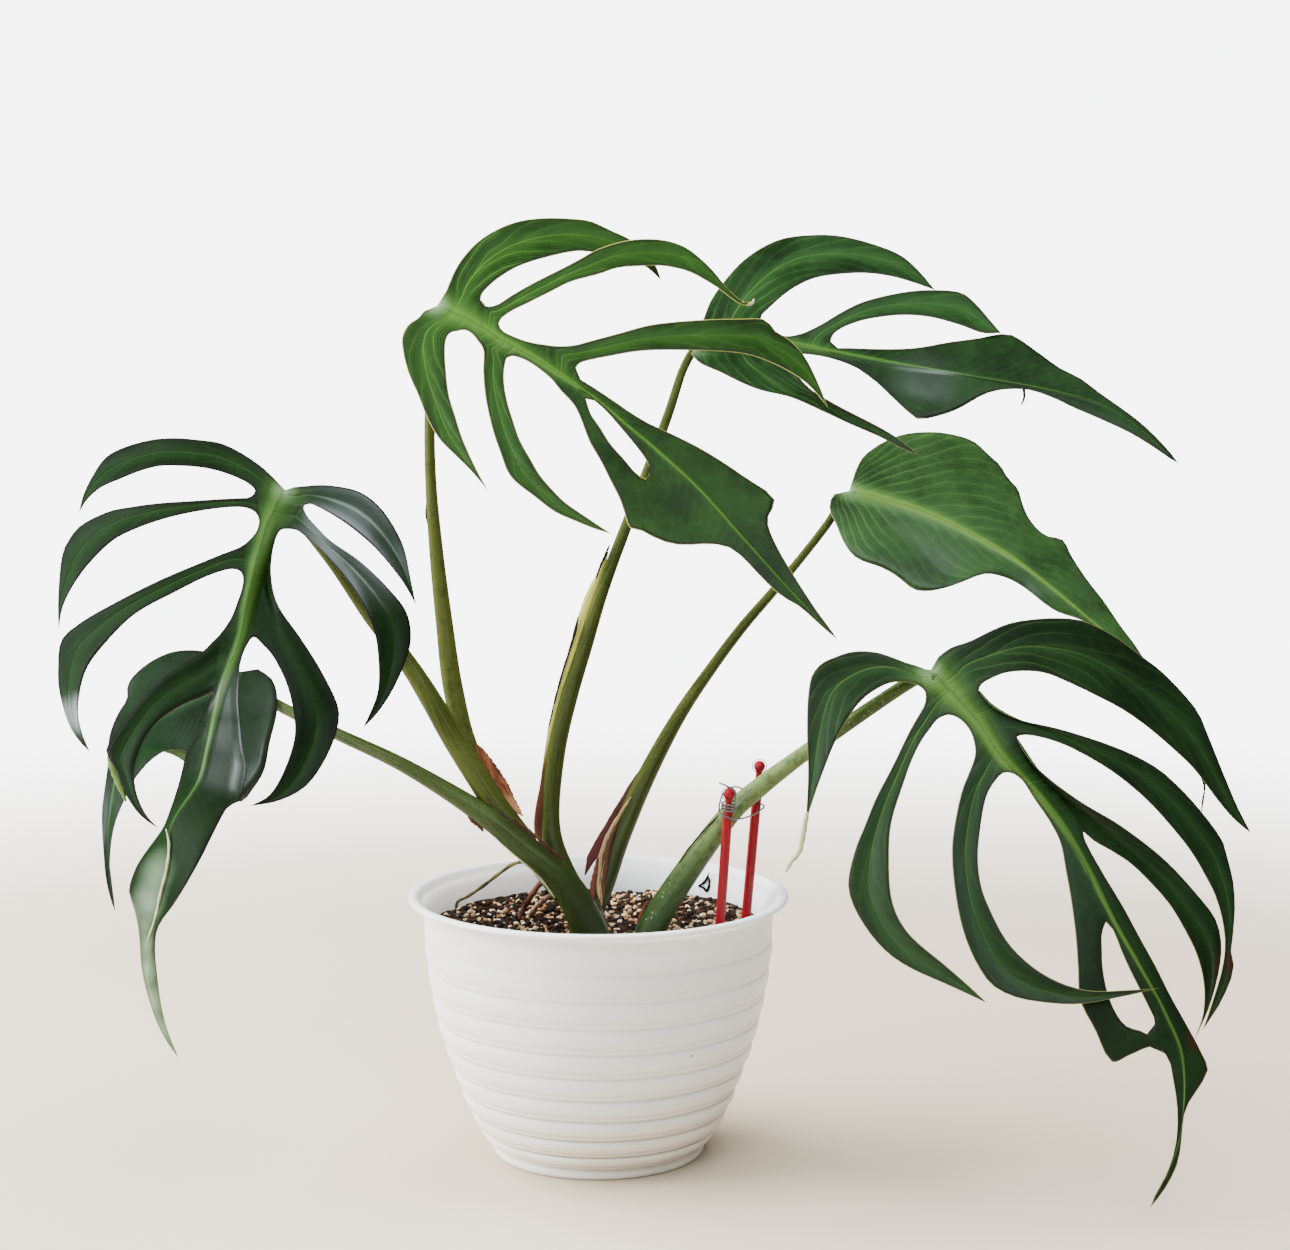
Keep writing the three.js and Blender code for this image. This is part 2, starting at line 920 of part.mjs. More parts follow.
// A ribbon's grid, from the midrib out to the margin, with the waves that an uncut blade has. The
// margin's middle is set back by the ribbon's lift.
function ribbonGrid(ribbon, midrib, wave) {
  const inner = stretched(midrib.slice(ribbon.root[0], ribbon.root[1] + 1), ribbon.beyond ?? []);
  const margin = stretched([ribbon.cut], ribbon.margin);
  const last = inner.length - 1;
  return Array.from({ length: RIBBON_ROWS + 1 }, (_, r) =>
    inner.map((point, c) => {
      const out = r / RIBBON_ROWS;
      const swell = c > 0 && c < last ? wave * Math.sin(2.4 * c) : 0;
      const back = (ribbon.lift ?? 0) * Math.sin((Math.PI * c) / last);
      return [...spaced([point, margin[c]], RIBBON_ROWS)[r], out * (swell + back)];
    }),
  );
}

// The blade's sheet: its points in space and triangles that all turn the same way.
function sheet(blade) {
  const points = [];
  const index = new Map();
  const triangles = [];
  const place = ([x, y, back]) => {
    const key = x + "," + y;
    if (!index.has(key)) {
      index.set(key, points.length);
      points.push(sight(x, y, sheetDepth(blade, [x, y]) + back));
    }
    return index.get(key);
  };
  for (const segment of blade.lobes) {
    const grid = segment.margin
      ? ribbonGrid(segment, blade.midrib, blade.wave ?? 0)
      : lobeGrid(segment, blade.midrib);
    const rim = [...grid[0], ...grid.map((row) => row.at(-1)), ...grid.at(-1).toReversed()];
    rim.push(...grid.map((row) => row[0]).toReversed());
    const turn = rim.reduce((sum, [x, y], i) => {
      const [x1, y1] = rim[(i + 1) % rim.length];
      return sum + x * y1 - x1 * y;
    }, 0);
    const at = grid.map((row) => row.map(place));
    for (let r = 0; r + 1 < at.length; r++)
      for (let c = 0; c + 1 < at[0].length; c++) {
        const quad = [at[r][c], at[r][c + 1], at[r + 1][c + 1], at[r + 1][c]];
        if (turn < 0) quad.reverse();
        triangles.push([quad[0], quad[1], quad[2]], [quad[0], quad[2], quad[3]]);
      }
  }
  return { points, triangles: triangles.filter((t) => new Set(t).size === 3) };
}

// A sheet given its thickness, with a wall round each free edge. Both faces are split alike, so
// they never cross.
function bladeSolid(blade, thickness) {
  const { points, triangles } = sheet(blade);
  const normals = points.map(() => new THREE.Vector3());
  for (const [a, b, c] of triangles) {
    const n = points[b].clone().sub(points[a]).cross(points[c].clone().sub(points[a]));
    for (const i of [a, b, c]) normals[i].add(n);
  }
  for (const n of normals) n.setLength(thickness / 2);
  const front = points.map((p, i) => p.clone().add(normals[i]));
  const back = points.map((p, i) => p.clone().sub(normals[i]));
  const count = points.length;
  const open = new Map();
  for (const [a, b, c] of triangles)
    for (const [from, to] of [
      [a, b],
      [b, c],
      [c, a],
    ])
      if (!open.delete(to + "," + from)) open.set(from + "," + to, [from, to]);
  const walls = [...open.values()].flatMap(([from, to]) => [
    [from, from + count, to + count],
    [from, to + count, to],
  ]);
  const under = triangles.map(([a, b, c]) => [a + count, c + count, b + count]);
  return solidOf([...front, ...back], [...triangles, ...under, ...walls]);
}

const bladeSolids = BLADES.map((blade) => bladeSolid(blade, BLADE_THICKNESS));
BLADES.forEach((blade, i) => add(blade.name, bladeSolids[i], blade.color, 0.35));

// The crown: the short stem that all the shoots but the one at the right spring from.
const CROWN_PATH = [
  [589, 1010, -13, 36],
  [589, 960, -13, 42],
  [588, 925, -13, 38],
  [587, 903, -13, 28],
];
const crown = (grow = 0) => tube(pathCurve(CROWN_PATH), pathRadii(CROWN_PATH), 5, 10, grow);
add("crown", crown(), 0x4b4a2b, 0.7);

// The petioles stand against each other in this order, each trimmed by the ones before it and at
// its top by its own blade.
const PETIOLE_ORDER = ["petiole_6", "petiole_5", "petiole_1", "petiole_2", "petiole_3", "petiole_4"];
const trimmers = [crown(CLEARANCE)];
for (const name of PETIOLE_ORDER) {
  const spec = PETIOLES.find((p) => p.name === name);
  const blade = BLADES.find((b) => b.name === name.replace("petiole", "leaf"));
  const seat = bladeSolid(blade, BLADE_THICKNESS + 3 * CLEARANCE);
  const solid = largest(wasm.Manifold.difference([petiole(spec), seat, ...trimmers]));
  add(name, solid, spec.color, 0.5);
  trimmers.push(petiole(spec, CLEARANCE));
}

// The papery sheaths, a thin strip along the edge of the petiole it has peeled from. A path point
// is [pixel x, pixel y, depth, width in pixels].
const SHEATH_THICKNESS = 0.8;
const SHEATHS = [
  {
    name: "sheath_1",
    color: 0x965a3c,
    path: [
      [474, 744, -2, 6],
      [486, 764, -3, 12],
      [497, 784, -4, 15],
      [507, 801, -4, 13],
      [518, 813, -5, 6],
    ],
  },
  {
    name: "sheath_2",
    color: 0xd7d778,
    path: [
      [608, 552, 52, 5],
      [600, 573, 48, 6],
      [593, 590, 44, 10],
      [583, 617, 38, 10],
      [574, 648, 32, 8],
      [566, 674, 27, 8],
      [559, 700, 23, 8],
      [552, 728, 18, 8],
      [546, 757, 14, 8],
      [542, 801, 9, 9],
      [537, 824, 6, 12],
      [540, 841, 4, 6],
    ],
  },
  {
    name: "sheath_3",
    color: 0x6a4a30,
    path: [
      [703, 681, 49, 5],
      [689, 697, 44, 7],
      [669, 732, 36, 7],
      [652, 760, 29, 8],
      [641, 774, 25, 9],
      [628, 795, 20, 10],
      [614, 817, 15, 11],
      [603, 838, 10, 12],
      [595, 857, 5, 13],
      [587, 874, 1, 10],
    ],
  },
];

function sheath(path) {
  const rings = path.map(([x, y, depth, width]) =>
    [
      [-1, -1],
      [1, -1],
      [1, 1],
      [-1, 1],
    ].map(([across, back]) =>
      sight(x, y, depth).add(
        new THREE.Vector3((across * width * span(depth)) / 2, (back * SHEATH_THICKNESS) / 2, 0),
      ),
    ),
  );
  return loft(rings);
}

for (const { name, color, path } of SHEATHS) {
  const solid = largest(wasm.Manifold.difference([sheath(path), ...trimmers]));
  add(name, solid, color, 0.8);
}

// The aerial roots, from the first petiole's base over to the soil.
const ROOTS = [
  {
    name: "root_1",
    color: 0x4a4a2c,
    path: [
      [537, 862, -4, 5],
      [508, 868, 8, 5],
      [488, 877, 18, 5],
      [475, 887, 27, 4.5],
      [466, 895, 33, 4],
      [462, 904, 35, 3.6],
      [463, 920, 36, 3.4],
    ],
  },
  {
    name: "root_2",
    color: 0x7a5a3c,
    path: [
      [552, 874, -7, 5],
      [538, 885, 2, 4.6],
      [530, 900, 6, 4.4],
      [521, 918, 10, 4.2],
      [519, 936, 11, 4],
    ],
  },
  {
    name: "root_3",
    color: 0x8a6a4a,
    path: [
      [566, 890, -8, 5],
      [553, 894, 0, 4.6],
      [541, 902, 8, 4.4],
      [533, 914, 14, 4.2],
      [530, 930, 15, 4],
    ],
  },
];
const root = (path, grow = 0) => tube(pathCurve(path), pathRadii(path), 8, 6, grow);
const rootTrimmers = [];
for (const { name, color, path } of ROOTS) {
  add(name, largest(wasm.Manifold.difference([root(path), ...trimmers, ...rootTrimmers])), color, 0.8);
  rootTrimmers.push(root(path, CLEARANCE));
}

// The two stakes: round rods with a necked top and a ball, pushed deep into the soil. foot is
// where a stake enters the soil and ball is the middle of its ball.
const STAKE_NECK_RADIUS = 1.5;
const STAKE_BALL_RADIUS = 2.4;
const STAKE_NECK_LENGTH = 7;
const STAKE_POINT_LENGTH = 5;
const STAKE_SIDES = 10;
const STAKES = [
  { name: "stake_front", foot: [720, 924, -12], ball: [729, 795, -12] },
  { name: "stake_back", foot: [746, 918, 12], ball: [759.5, 767, 12] },
];

function stake({ foot, ball }, grow = 0) {
  const from = sight(...foot);
  const to = sight(...ball);
  const length = to.distanceTo(from);
  const axis = to.sub(from).normalize();
  const across = new THREE.Vector3(0, 1, 0).cross(axis).normalize();
  const back = axis.clone().cross(across);
  const profile = [
    [-STAKE_SUNK, STAKE_RADIUS / 4],
    [STAKE_POINT_LENGTH - STAKE_SUNK, STAKE_RADIUS],
    [length - STAKE_NECK_LENGTH - 1, STAKE_RADIUS],
    [length - STAKE_NECK_LENGTH, STAKE_NECK_RADIUS],
    [length - STAKE_BALL_RADIUS * 0.85, STAKE_NECK_RADIUS],
    [length - STAKE_BALL_RADIUS * 0.45, STAKE_BALL_RADIUS * 0.9],
    [length, STAKE_BALL_RADIUS],
    [length + STAKE_BALL_RADIUS * 0.55, STAKE_BALL_RADIUS * 0.85],
    [length + STAKE_BALL_RADIUS * 0.9, STAKE_BALL_RADIUS * 0.4],
  ];
  const rings = profile.map(([way, radius]) =>
    Array.from({ length: STAKE_SIDES }, (_, j) => {
      const turn = (2 * Math.PI * j) / STAKE_SIDES;
      return from
        .clone()
        .addScaledVector(axis, way)
        .addScaledVector(across, (radius + grow) * Math.cos(turn))
        .addScaledVector(back, (radius + grow) * Math.sin(turn));
    }),
  );
  return loft(rings);
}

STAKES.forEach((spec) => add(spec.name, stake(spec), 0xbe1e28, 0.35));

// The tie: a wire loop round both stakes and the petiole between them, and a coil with two loose
// ends twisted round the neck of the front stake. Path points are [pixel x, pixel y, depth].
const LOOP_PATH = [
  [720, 813, -12],
  [727.5, 817.5, -15.6],
  [738, 819, -12],
  [750, 816, -4.5],
  [759, 811, 4],
  [764, 806, 12],
  [758, 802, 16],
  [749, 793, 16],
  [737, 787, 11],
  [726, 790, 3],
  [720, 802, -6],
];
const LOOP_STEPS = 28;
const WIRE_SIDES = 5;

function wireLoop() {
  const curve = new THREE.CatmullRomCurve3(LOOP_PATH.map((p) => sight(...p)), true);
  const frames = curve.computeFrenetFrames(LOOP_STEPS, true);
  const points = [];
  for (let i = 0; i < LOOP_STEPS; i++)
    for (let j = 0; j < WIRE_SIDES; j++) {
      const turn = (2 * Math.PI * j) / WIRE_SIDES;
      points.push(
        curve
          .getPointAt(i / LOOP_STEPS)
          .addScaledVector(frames.normals[i], WIRE_RADIUS * Math.cos(turn))
          .addScaledVector(frames.binormals[i], WIRE_RADIUS * Math.sin(turn)),
      );
    }
  const triangles = [];
  for (let i = 0; i < LOOP_STEPS; i++)
    for (let j = 0; j < WIRE_SIDES; j++) {
      const next = (j + 1) % WIRE_SIDES;
      const a = i * WIRE_SIDES + j;
      const b = i * WIRE_SIDES + next;
      const c = ((i + 1) % LOOP_STEPS) * WIRE_SIDES + next;
      const d = ((i + 1) % LOOP_STEPS) * WIRE_SIDES + j;
      triangles.push([a, b, c], [a, c, d]);
    }
  return solidOf(points, triangles);
}

const COIL_TOP = [728.4, 801.5, -12];
const COIL_END_IN = [
  [719, 783, -15],
  [727, 786, -16],
  [735, 792, -14.5],
];
const COIL_END_OUT = [
  [736, 806, -15],
  [743, 799, -16.5],
  [751, 789, -16],
];
const COIL_RADIUS = 2.4;
const COIL_TURNS = 3;
const COIL_PITCH = 1.35;
const COIL_STEPS = 8;

function wireCoil() {
  const middle = sight(...COIL_TOP);
  const helix = Array.from({ length: COIL_TURNS * COIL_STEPS + 1 }, (_, i) => {
    const turn = (2 * Math.PI * i) / COIL_STEPS;
    const down = (COIL_PITCH * i) / COIL_STEPS;
    return middle
      .clone()
      .add(new THREE.Vector3(COIL_RADIUS * Math.cos(turn), COIL_RADIUS * Math.sin(turn), -down));
  });
  const ends = [COIL_END_IN, COIL_END_OUT].map((end) => end.map((p) => sight(...p)));
  const curve = new THREE.CatmullRomCurve3([...ends[0], ...helix, ...ends[1]], false, "centripetal");
  const radii = [
    [0, WIRE_RADIUS],
    [1, WIRE_RADIUS],
  ];
  return tube(curve, radii, 2 * helix.length, WIRE_SIDES);
}

add("tie_loop", wireLoop(), 0x2c2c2e, 0.4, 0.6);
add("tie_coil", wireCoil(), 0x2c2c2e, 0.4, 0.6);

// The soil: gritty ground in hexagonal rings of grains, down the pot's inner wall to its floor,
// with a plain hole for everything that stands in it.
const SOIL_RINGS = 14;
const GRAIN_SCATTER = 1.5;
const RIM_MARGIN = 2;

function soilSolid() {
  const bottom = POT_FLOOR + SOIL_GAP;
  const inner = (z) => along(POT_INNER_STOPS, z) - SOIL_GAP;
  const rim = inner(SOIL_HEIGHT);
  const points = [new THREE.Vector3(0, 0, SOIL_HEIGHT)];
  const start = (k) => (k > 0 ? 1 + 3 * k * (k - 1) : 0);
  for (let k = 1; k <= SOIL_RINGS; k++)
    for (let j = 0; j < 6 * k; j++) {
      const edge = k === SOIL_RINGS;
      const turn = (2 * Math.PI * (j + (edge ? 0 : 0.5 * draw()))) / (6 * k);
      const scattered = k * GRAIN_PITCH + GRAIN_SCATTER * (draw() - 0.5);
      const r = edge ? rim : Math.min(scattered, rim - RIM_MARGIN);
      const z = SOIL_HEIGHT + 2 * GRAIN_RELIEF * (draw() - 0.5) * (edge ? 0.5 : 1);
      points.push(new THREE.Vector3(r * Math.cos(turn), r * Math.sin(turn), z));
    }
  const triangles = [];
  for (let k = 1; k <= SOIL_RINGS; k++)
    for (let side = 0; side < 6; side++)
      for (let j = 0; j < k; j++) {
        const outer = (n) => start(k) + ((side * k + n) % (6 * k));
        const within = (n) => (k > 1 ? start(k - 1) + ((side * (k - 1) + n) % (6 * (k - 1))) : 0);
        triangles.push([within(j), outer(j), outer(j + 1)]);
        if (j + 1 < k) triangles.push([within(j), outer(j + 1), within(j + 1)]);
      }
  const count = 6 * SOIL_RINGS;
  let above = start(SOIL_RINGS);
  for (const z of [...POT_INNER_STOPS.map((stop) => stop[0]).slice(1, 4).reverse(), bottom]) {
    const here = points.length;
    for (let j = 0; j < count; j++) {
      const turn = (2 * Math.PI * j) / count;
      points.push(new THREE.Vector3(inner(z) * Math.cos(turn), inner(z) * Math.sin(turn), z));
    }
    for (let j = 0; j < count; j++) {
      const next = (j + 1) % count;
      triangles.push([above + j, here + j, here + next], [above + j, here + next, above + next]);
    }
    above = here;
  }
  const hub = points.push(new THREE.Vector3(0, 0, bottom)) - 1;
  for (let j = 0; j < count; j++) triangles.push([hub, above + ((j + 1) % count), above + j]);
  return solidOf(points, triangles);
}

const stakeHoles = STAKES.map((spec) => stake(spec, CLEARANCE));
const soil = wasm.Manifold.difference([soilSolid(), ...trimmers, ...rootTrimmers, ...stakeHoles]);
add("soil", largest(soil), 0x4a3a2c, 0.95);

export default plant;
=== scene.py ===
import math
import random

import bmesh
import bpy
from mathutils import Matrix, Vector, noise
from mathutils.kdtree import KDTree

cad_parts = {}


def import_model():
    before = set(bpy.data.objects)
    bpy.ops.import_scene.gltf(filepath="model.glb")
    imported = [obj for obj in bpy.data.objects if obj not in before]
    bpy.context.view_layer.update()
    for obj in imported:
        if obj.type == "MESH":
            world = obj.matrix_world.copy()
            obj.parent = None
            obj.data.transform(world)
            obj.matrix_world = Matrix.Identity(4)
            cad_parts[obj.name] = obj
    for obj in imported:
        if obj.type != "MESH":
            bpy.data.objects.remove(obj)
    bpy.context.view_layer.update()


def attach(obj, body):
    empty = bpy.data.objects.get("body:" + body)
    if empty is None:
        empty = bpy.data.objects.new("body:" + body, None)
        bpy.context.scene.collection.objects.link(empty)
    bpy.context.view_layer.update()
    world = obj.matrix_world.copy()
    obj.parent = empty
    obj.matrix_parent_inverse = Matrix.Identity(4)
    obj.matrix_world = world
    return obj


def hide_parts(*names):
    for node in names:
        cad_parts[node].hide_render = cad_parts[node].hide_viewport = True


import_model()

# Pot
# A seven-inch nursery pot of glossy white plastic, moulded in one piece: a rolled rim, a bulged
# wall with soft ripples that come closer together towards the foot, and a thin foot bead.
#
# All sizes are in millimetres. POT_WALL is the wall's radius at some heights, its foot, rim and
# floor are points of radius and height, and RIPPLE is how far out the wall stands on the way from
# one groove to the next. Ripples and the painted shade in their grooves fade towards the rim.
MM = 0.001
POT_HEIGHT = 125
POT_STEPS = 168
POT_THICKNESS = 2.2
POT_WALL = [
    (0, 49), (4.3, 51.6), (15, 58.2), (25, 63.2), (35, 66.9), (45, 70.5), (55, 74), (65, 76.7),
    (75, 78.6), (85, 80.4), (95, 81.6), (105, 82.6), (118.75, 83.2), (125, 83.5),
]
POT_FOOT = [
    (0, 0), (30, 0), (46, 0), (48, 0), (49.4, 0.4), (50.2, 1.3), (50.4, 2.6), (50.1, 3.8), (49.4, 4.7),
]
POT_RIM = [
    (84.3, 121.6), (86.5, 122.1), (88.8, 122.4), (89.7, 122.8), (90, 123.4), (89.9, 124.2),
    (89.3, 124.8), (88.4, 125), (87.0, 125), (86.1, 124.7), (85.5, 124),
]
POT_FLOOR = [(47.5, 3), (0, 3)]
COLLAR_HEIGHTS = (105, 108, 112, 116, 119, 120.8)
COLLAR_INSET = 0.1
INSIDE_HEIGHTS = (117, 108, 98, 78, 60, 44, 30, 16)
GROOVES_FROM = 0.045
GROOVES_SPAN = 0.79
GROOVES_SPREAD = 1.2
RIPPLES = 9
RIPPLE_DEPTH = 2.2
RIPPLE_STAND = 0.4
RIPPLE_FADE = 0.65
GROOVE_SHADE_FADE = 0.75
RIPPLE = [
    (0.0, 0.0), (0.03, 0.22), (0.08, 0.5), (0.14, 0.56), (0.19, 0.45), (0.22, 0.3), (0.25, 0.42),
    (0.31, 0.72), (0.4, 0.92), (0.52, 1.0), (0.66, 0.98), (0.78, 0.88), (0.88, 0.68), (0.95, 0.4),
    (0.98, 0.18),
]
UNEVEN = 0.25
UNEVEN_RADII = (50, 84.5)
UNEVEN_ABOVE = 4


def along(stops, at):
    """The value at a place on stops of (place, value)."""
    for (a, low), (b, high) in zip(stops, stops[1:]):
        if at <= b:
            return low + (high - low) * (max(at, a) - a) / (b - a)
    return stops[-1][1]


def finished(name, bm, materials, body="root", merge=1e-5):
    """The shape as one closed, smooth-shaded object that rides on a body."""
    bmesh.ops.remove_doubles(bm, verts=bm.verts, dist=merge)
    bmesh.ops.dissolve_degenerate(bm, edges=bm.edges, dist=1e-7)
    bmesh.ops.recalc_face_normals(bm, faces=bm.faces)
    for face in bm.faces:
        face.smooth = True
    mesh = bpy.data.meshes.new(name)
    bm.to_mesh(mesh)
    bm.free()
    piece = bpy.data.objects.new(name, mesh)
    bpy.context.scene.collection.objects.link(piece)
    for material in materials:
        mesh.materials.append(material)
    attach(piece, body)
    return piece


def paint(red, green, blue):
    """A colour as seen on a screen, 0 to 255, made the shader's own by the usual curve."""
    shown = [c / 255 for c in (red, green, blue)]
    return (*[c / 12.92 if c < 0.0404 else ((c + 0.055) / 1.055) ** 2.4 for c in shown], 1)


class Value:
    """A socket among a finish's nodes. Arithmetic on it adds Math nodes."""

    def __init__(self, finish, socket):
        self.finish = finish
        self.socket = socket

    def math(self, operation, *others):
        return self.finish.math(operation, self, *others)

    def __add__(self, other):
        return self.math("ADD", other)

    def __radd__(self, other):
        return self.math("ADD", other)

    def __sub__(self, other):
        return self.math("SUBTRACT", other)

    def __rsub__(self, other):
        return self.finish.math("SUBTRACT", other, self)

    def __mul__(self, other):
        return self.math("MULTIPLY", other)

    def __rmul__(self, other):
        return self.math("MULTIPLY", other)

    def __truediv__(self, other):
        return self.math("DIVIDE", other)

    def __rtruediv__(self, other):
        return self.finish.math("DIVIDE", other, self)

    def __pow__(self, other):
        return self.math("POWER", other)

    def __abs__(self):
        return self.math("ABSOLUTE")

    def ramp(self, low, high):
        """0 below low, 1 above high, and a smooth way between, in either order."""
        first, last = (low, high) if low < high else (high, low)
        settings = {"interpolation_type": "SMOOTHSTEP"}
        ends = {1: first, 2: last, 3: float(low > high), 4: float(low < high)}
        return self.finish.node("MapRange", settings, {0: self, **ends})


class Finish:
    """A procedural material. Every node but its shader comes from node()."""

    def __init__(self, name, **constants):
        self.material = bpy.data.materials.new(name)
        self.material.use_nodes = True
        self.tree = self.material.node_tree
        self.shader = self.tree.nodes["Principled BSDF"]
        for socket, value in constants.items():
            self.shader.inputs[socket.replace("_", " ")].default_value = value

    def node(self, kind, settings=None, sockets=None, out=0):
        made = self.tree.nodes.new("ShaderNode" + kind)
        for key, value in (settings or {}).items():
            setattr(made, key, value)
        for key, value in (sockets or {}).items():
            self.feed(made.inputs[key], value)
        return Value(self, made.outputs[out])

    def feed(self, socket, value):
        if isinstance(value, Value):
            self.tree.links.new(value.socket, socket)
        else:
            socket.default_value = value

    def math(self, operation, *terms):
        return self.node("Math", {"operation": operation}, dict(enumerate(terms)))

    def mix(self, share, under, over):
        """under where share is 0, over where it is 1. Both are colours."""
        return self.node("Mix", {"data_type": "RGBA"}, {0: share, 6: under, 7: over}, 2)

    def place(self, x=1, y=1, z=1):
        """Object coordinates, stretched."""
        coordinates = self.node("TexCoord", out=3)
        stretch = {0: coordinates, 1: (x, y, z)}
        return self.node("VectorMath", {"operation": "MULTIPLY"}, stretch)

    def cloud(self, scale, detail=3.0, roughness=0.55, place=None):
        """Noise between 0 and 1."""
        sockets = {"Vector": place or self.place(), "Scale": scale, "Detail": detail}
        return self.node("TexNoise", None, {**sockets, "Roughness": roughness})

    def fibres(self, across, along):
        """Noise drawn out along the piece, from its own map."""
        return self.cloud(1.0, 4.0, 0.6, self.node("CombineXYZ", None, {0: across, 1: along}))

    def attribute(self, name):
        return self.node("Attribute", {"attribute_name": name}, out=2)

    def run(self, name):
        """The two numbers of the piece's own map."""
        pair = self.node("UVMap", {"uv_map": name})
        return [self.node("SeparateXYZ", None, {0: pair}, axis) for axis in (0, 1)]

    def done(self, **sockets):
        """Feeds the shader, with a height made a bump."""
        height = sockets.pop("height", None)
        depth = sockets.pop("depth", 0.0002)
        if height is not None:
            bump = {"Height": height, "Strength": 1.0, "Distance": depth}
            sockets["Normal"] = self.node("Bump", None, bump)
        for socket, value in sockets.items():
            self.feed(self.shader.inputs[socket.replace("_", " ")], value)
        return self.material


def spun(bm, ring, steps):
    """Spins a line of points once round the upright axis."""
    edges = [bm.edges.new(pair) for pair in zip(ring, ring[1:])]
    turn = {"cent": (0, 0, 0), "axis": (0, 0, 1), "angle": 2 * math.pi, "steps": steps}
    bmesh.ops.spin(bm, geom=ring + edges, use_merge=True, **turn)


def pot_plastic():
    finish = Finish("pot_white_plastic", Specular_IOR_Level=0.5, Subsurface_Weight=0.3,
                    Subsurface_Scale=0.004, Subsurface_Radius=(1, 0.94, 0.88))
    stain = finish.cloud(9.0, 4.0)
    low = finish.node("SeparateXYZ", None, {0: finish.place()}, 2).ramp(0.06, 0.0)
    dust = finish.cloud(60.0, 5.0) * low
    clean = finish.mix(stain, paint(232, 232, 234), paint(240, 239, 238))
    color = finish.mix(dust * 0.5, clean, paint(206, 200, 192))
    # Painted reflection: the lower wall is tinted warm, as a warm floor would light it from below.
    color = finish.mix(low * 0.35, color, paint(224, 206, 184))
    # Painted shade: the grooves are darkened to a warm grey, most where they are deepest and low on the
    # wall.
    color = finish.mix(finish.attribute("groove") ** 2 * 0.95, color, paint(172, 154, 132))
    fine = finish.cloud(420.0, 2.0)
    rough = stain * 0.1 + 0.24 + low * 0.08
    return finish.done(Base_Color=color, Roughness=rough, height=fine, depth=0.00002)


def groove_height(i):
    """The height of a groove. They lie closer together towards the foot."""
    return POT_HEIGHT * (GROOVES_FROM + GROOVES_SPAN * (i / RIPPLES) ** GROOVES_SPREAD)


def pot_profile():
    """Points (radius, height, how deep in a groove) from the middle of the base, out and up, and
    back down inside."""
    points = [(r, z, 0) for r, z in POT_FOOT]
    for i in range(RIPPLES):
        low, high = groove_height(i), groove_height(i + 1)
        swell = RIPPLE_DEPTH * (1 - RIPPLE_FADE * i / RIPPLES)
        for way, stand in RIPPLE:
            z = low + way * (high - low)
            # How much painted shade this point of the groove gets, less towards the rim.
            groove_shade = (1 - stand) * (1 - GROOVE_SHADE_FADE * i / RIPPLES)
            points.append((along(POT_WALL, z) + RIPPLE_STAND - swell * (1 - stand), z, groove_shade))
    collar = [(along(POT_WALL, z) - COLLAR_INSET, z) for z in COLLAR_HEIGHTS]
    inside = [(along(POT_WALL, z) - POT_THICKNESS, z) for z in INSIDE_HEIGHTS]
    return points + [(r, z, 0) for r, z in [*collar, *POT_RIM, *inside, *POT_FLOOR]]


def pot():
    bm = bmesh.new()
    groove = bm.verts.layers.float.new("groove")
    ring = []
    for r, z, deep in pot_profile():
        ring.append(bm.verts.new((r * MM, 0, z * MM)))
        ring[-1][groove] = deep
    spun(bm, ring, POT_STEPS)
    least, most = (radius * MM for radius in UNEVEN_RADII)
    for vert in bm.verts:
        radius = vert.co.xy.length
        if least < radius < most and vert.co.z > UNEVEN_ABOVE * MM:
            x, y = vert.co.xy / radius
            broad = noise.noise((1.4 * x, 1.4 * y, vert.co.z * 90))
            close = noise.noise((5 * x, 5 * y, vert.co.z * 30))
            vert.co.xy *= 1 + UNEVEN * MM * (broad + 0.5 * close) / radius
    piece = finished("pot_shell", bm, [pot_plastic()])
    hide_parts("pot")


pot()

# Soil
# A gritty mix of bark, cream and ochre pumice, and black and white grains. The ground is one dark
# body down to the pot's floor, and the loose grains lie on it in pieces by their colour.
#
# A bump of the ground is its width, its place in the noise and its height, and its side is points
# of radius and height. A grain is raised, and made less wide and less tall, by a share of its size.
SOIL_HEIGHT = 110
SOIL_RADIUS = 79.4
GROUND_SUNK = 1.0
GROUND_BUMPS = [(22, 3.1, 1.6), (4, 7.7, 0.9)]
GROUND_SIDE = [(78.8, 100), (76.2, 78), (67.2, 44), (62.0, 30), (55.8, 16), (47.2, 3.7), (0, 3.7)]
GROUND_RINGS = 60
GROUND_TURNS = 150
# Name, how many, smallest and largest size, two colours, roughness.
GRAINS = [
    ("grains_bark", 1250, 1.8, 4.2, (24, 14, 10), (62, 40, 28), 0.85),
    ("grains_cream", 560, 1.9, 3.6, (216, 190, 148), (188, 154, 112), 0.7),
    ("grains_ochre", 320, 1.9, 3.4, (140, 96, 60), (178, 136, 92), 0.75),
    ("grains_black", 700, 1.8, 3.8, (8, 7, 7), (26, 20, 18), 0.45),
    ("grains_white", 200, 1.6, 2.8, (226, 218, 202), (198, 186, 166), 0.65),
]
GRAIN_SEED = 4711
GRAIN_SHAPES = 7
GRAIN_UNEVEN = (0.78, 1.12)
GRAIN_OFF_WALL = 2.2
GRAIN_RAISED = (-0.1, 0.38)
GRAIN_TURNED = (0, 6.28)
GRAIN_TIPPED = (-0.7, 0.7)
GRAIN_WIDE = (0.6, 1)
GRAIN_TALL = (0.5, 0.85)


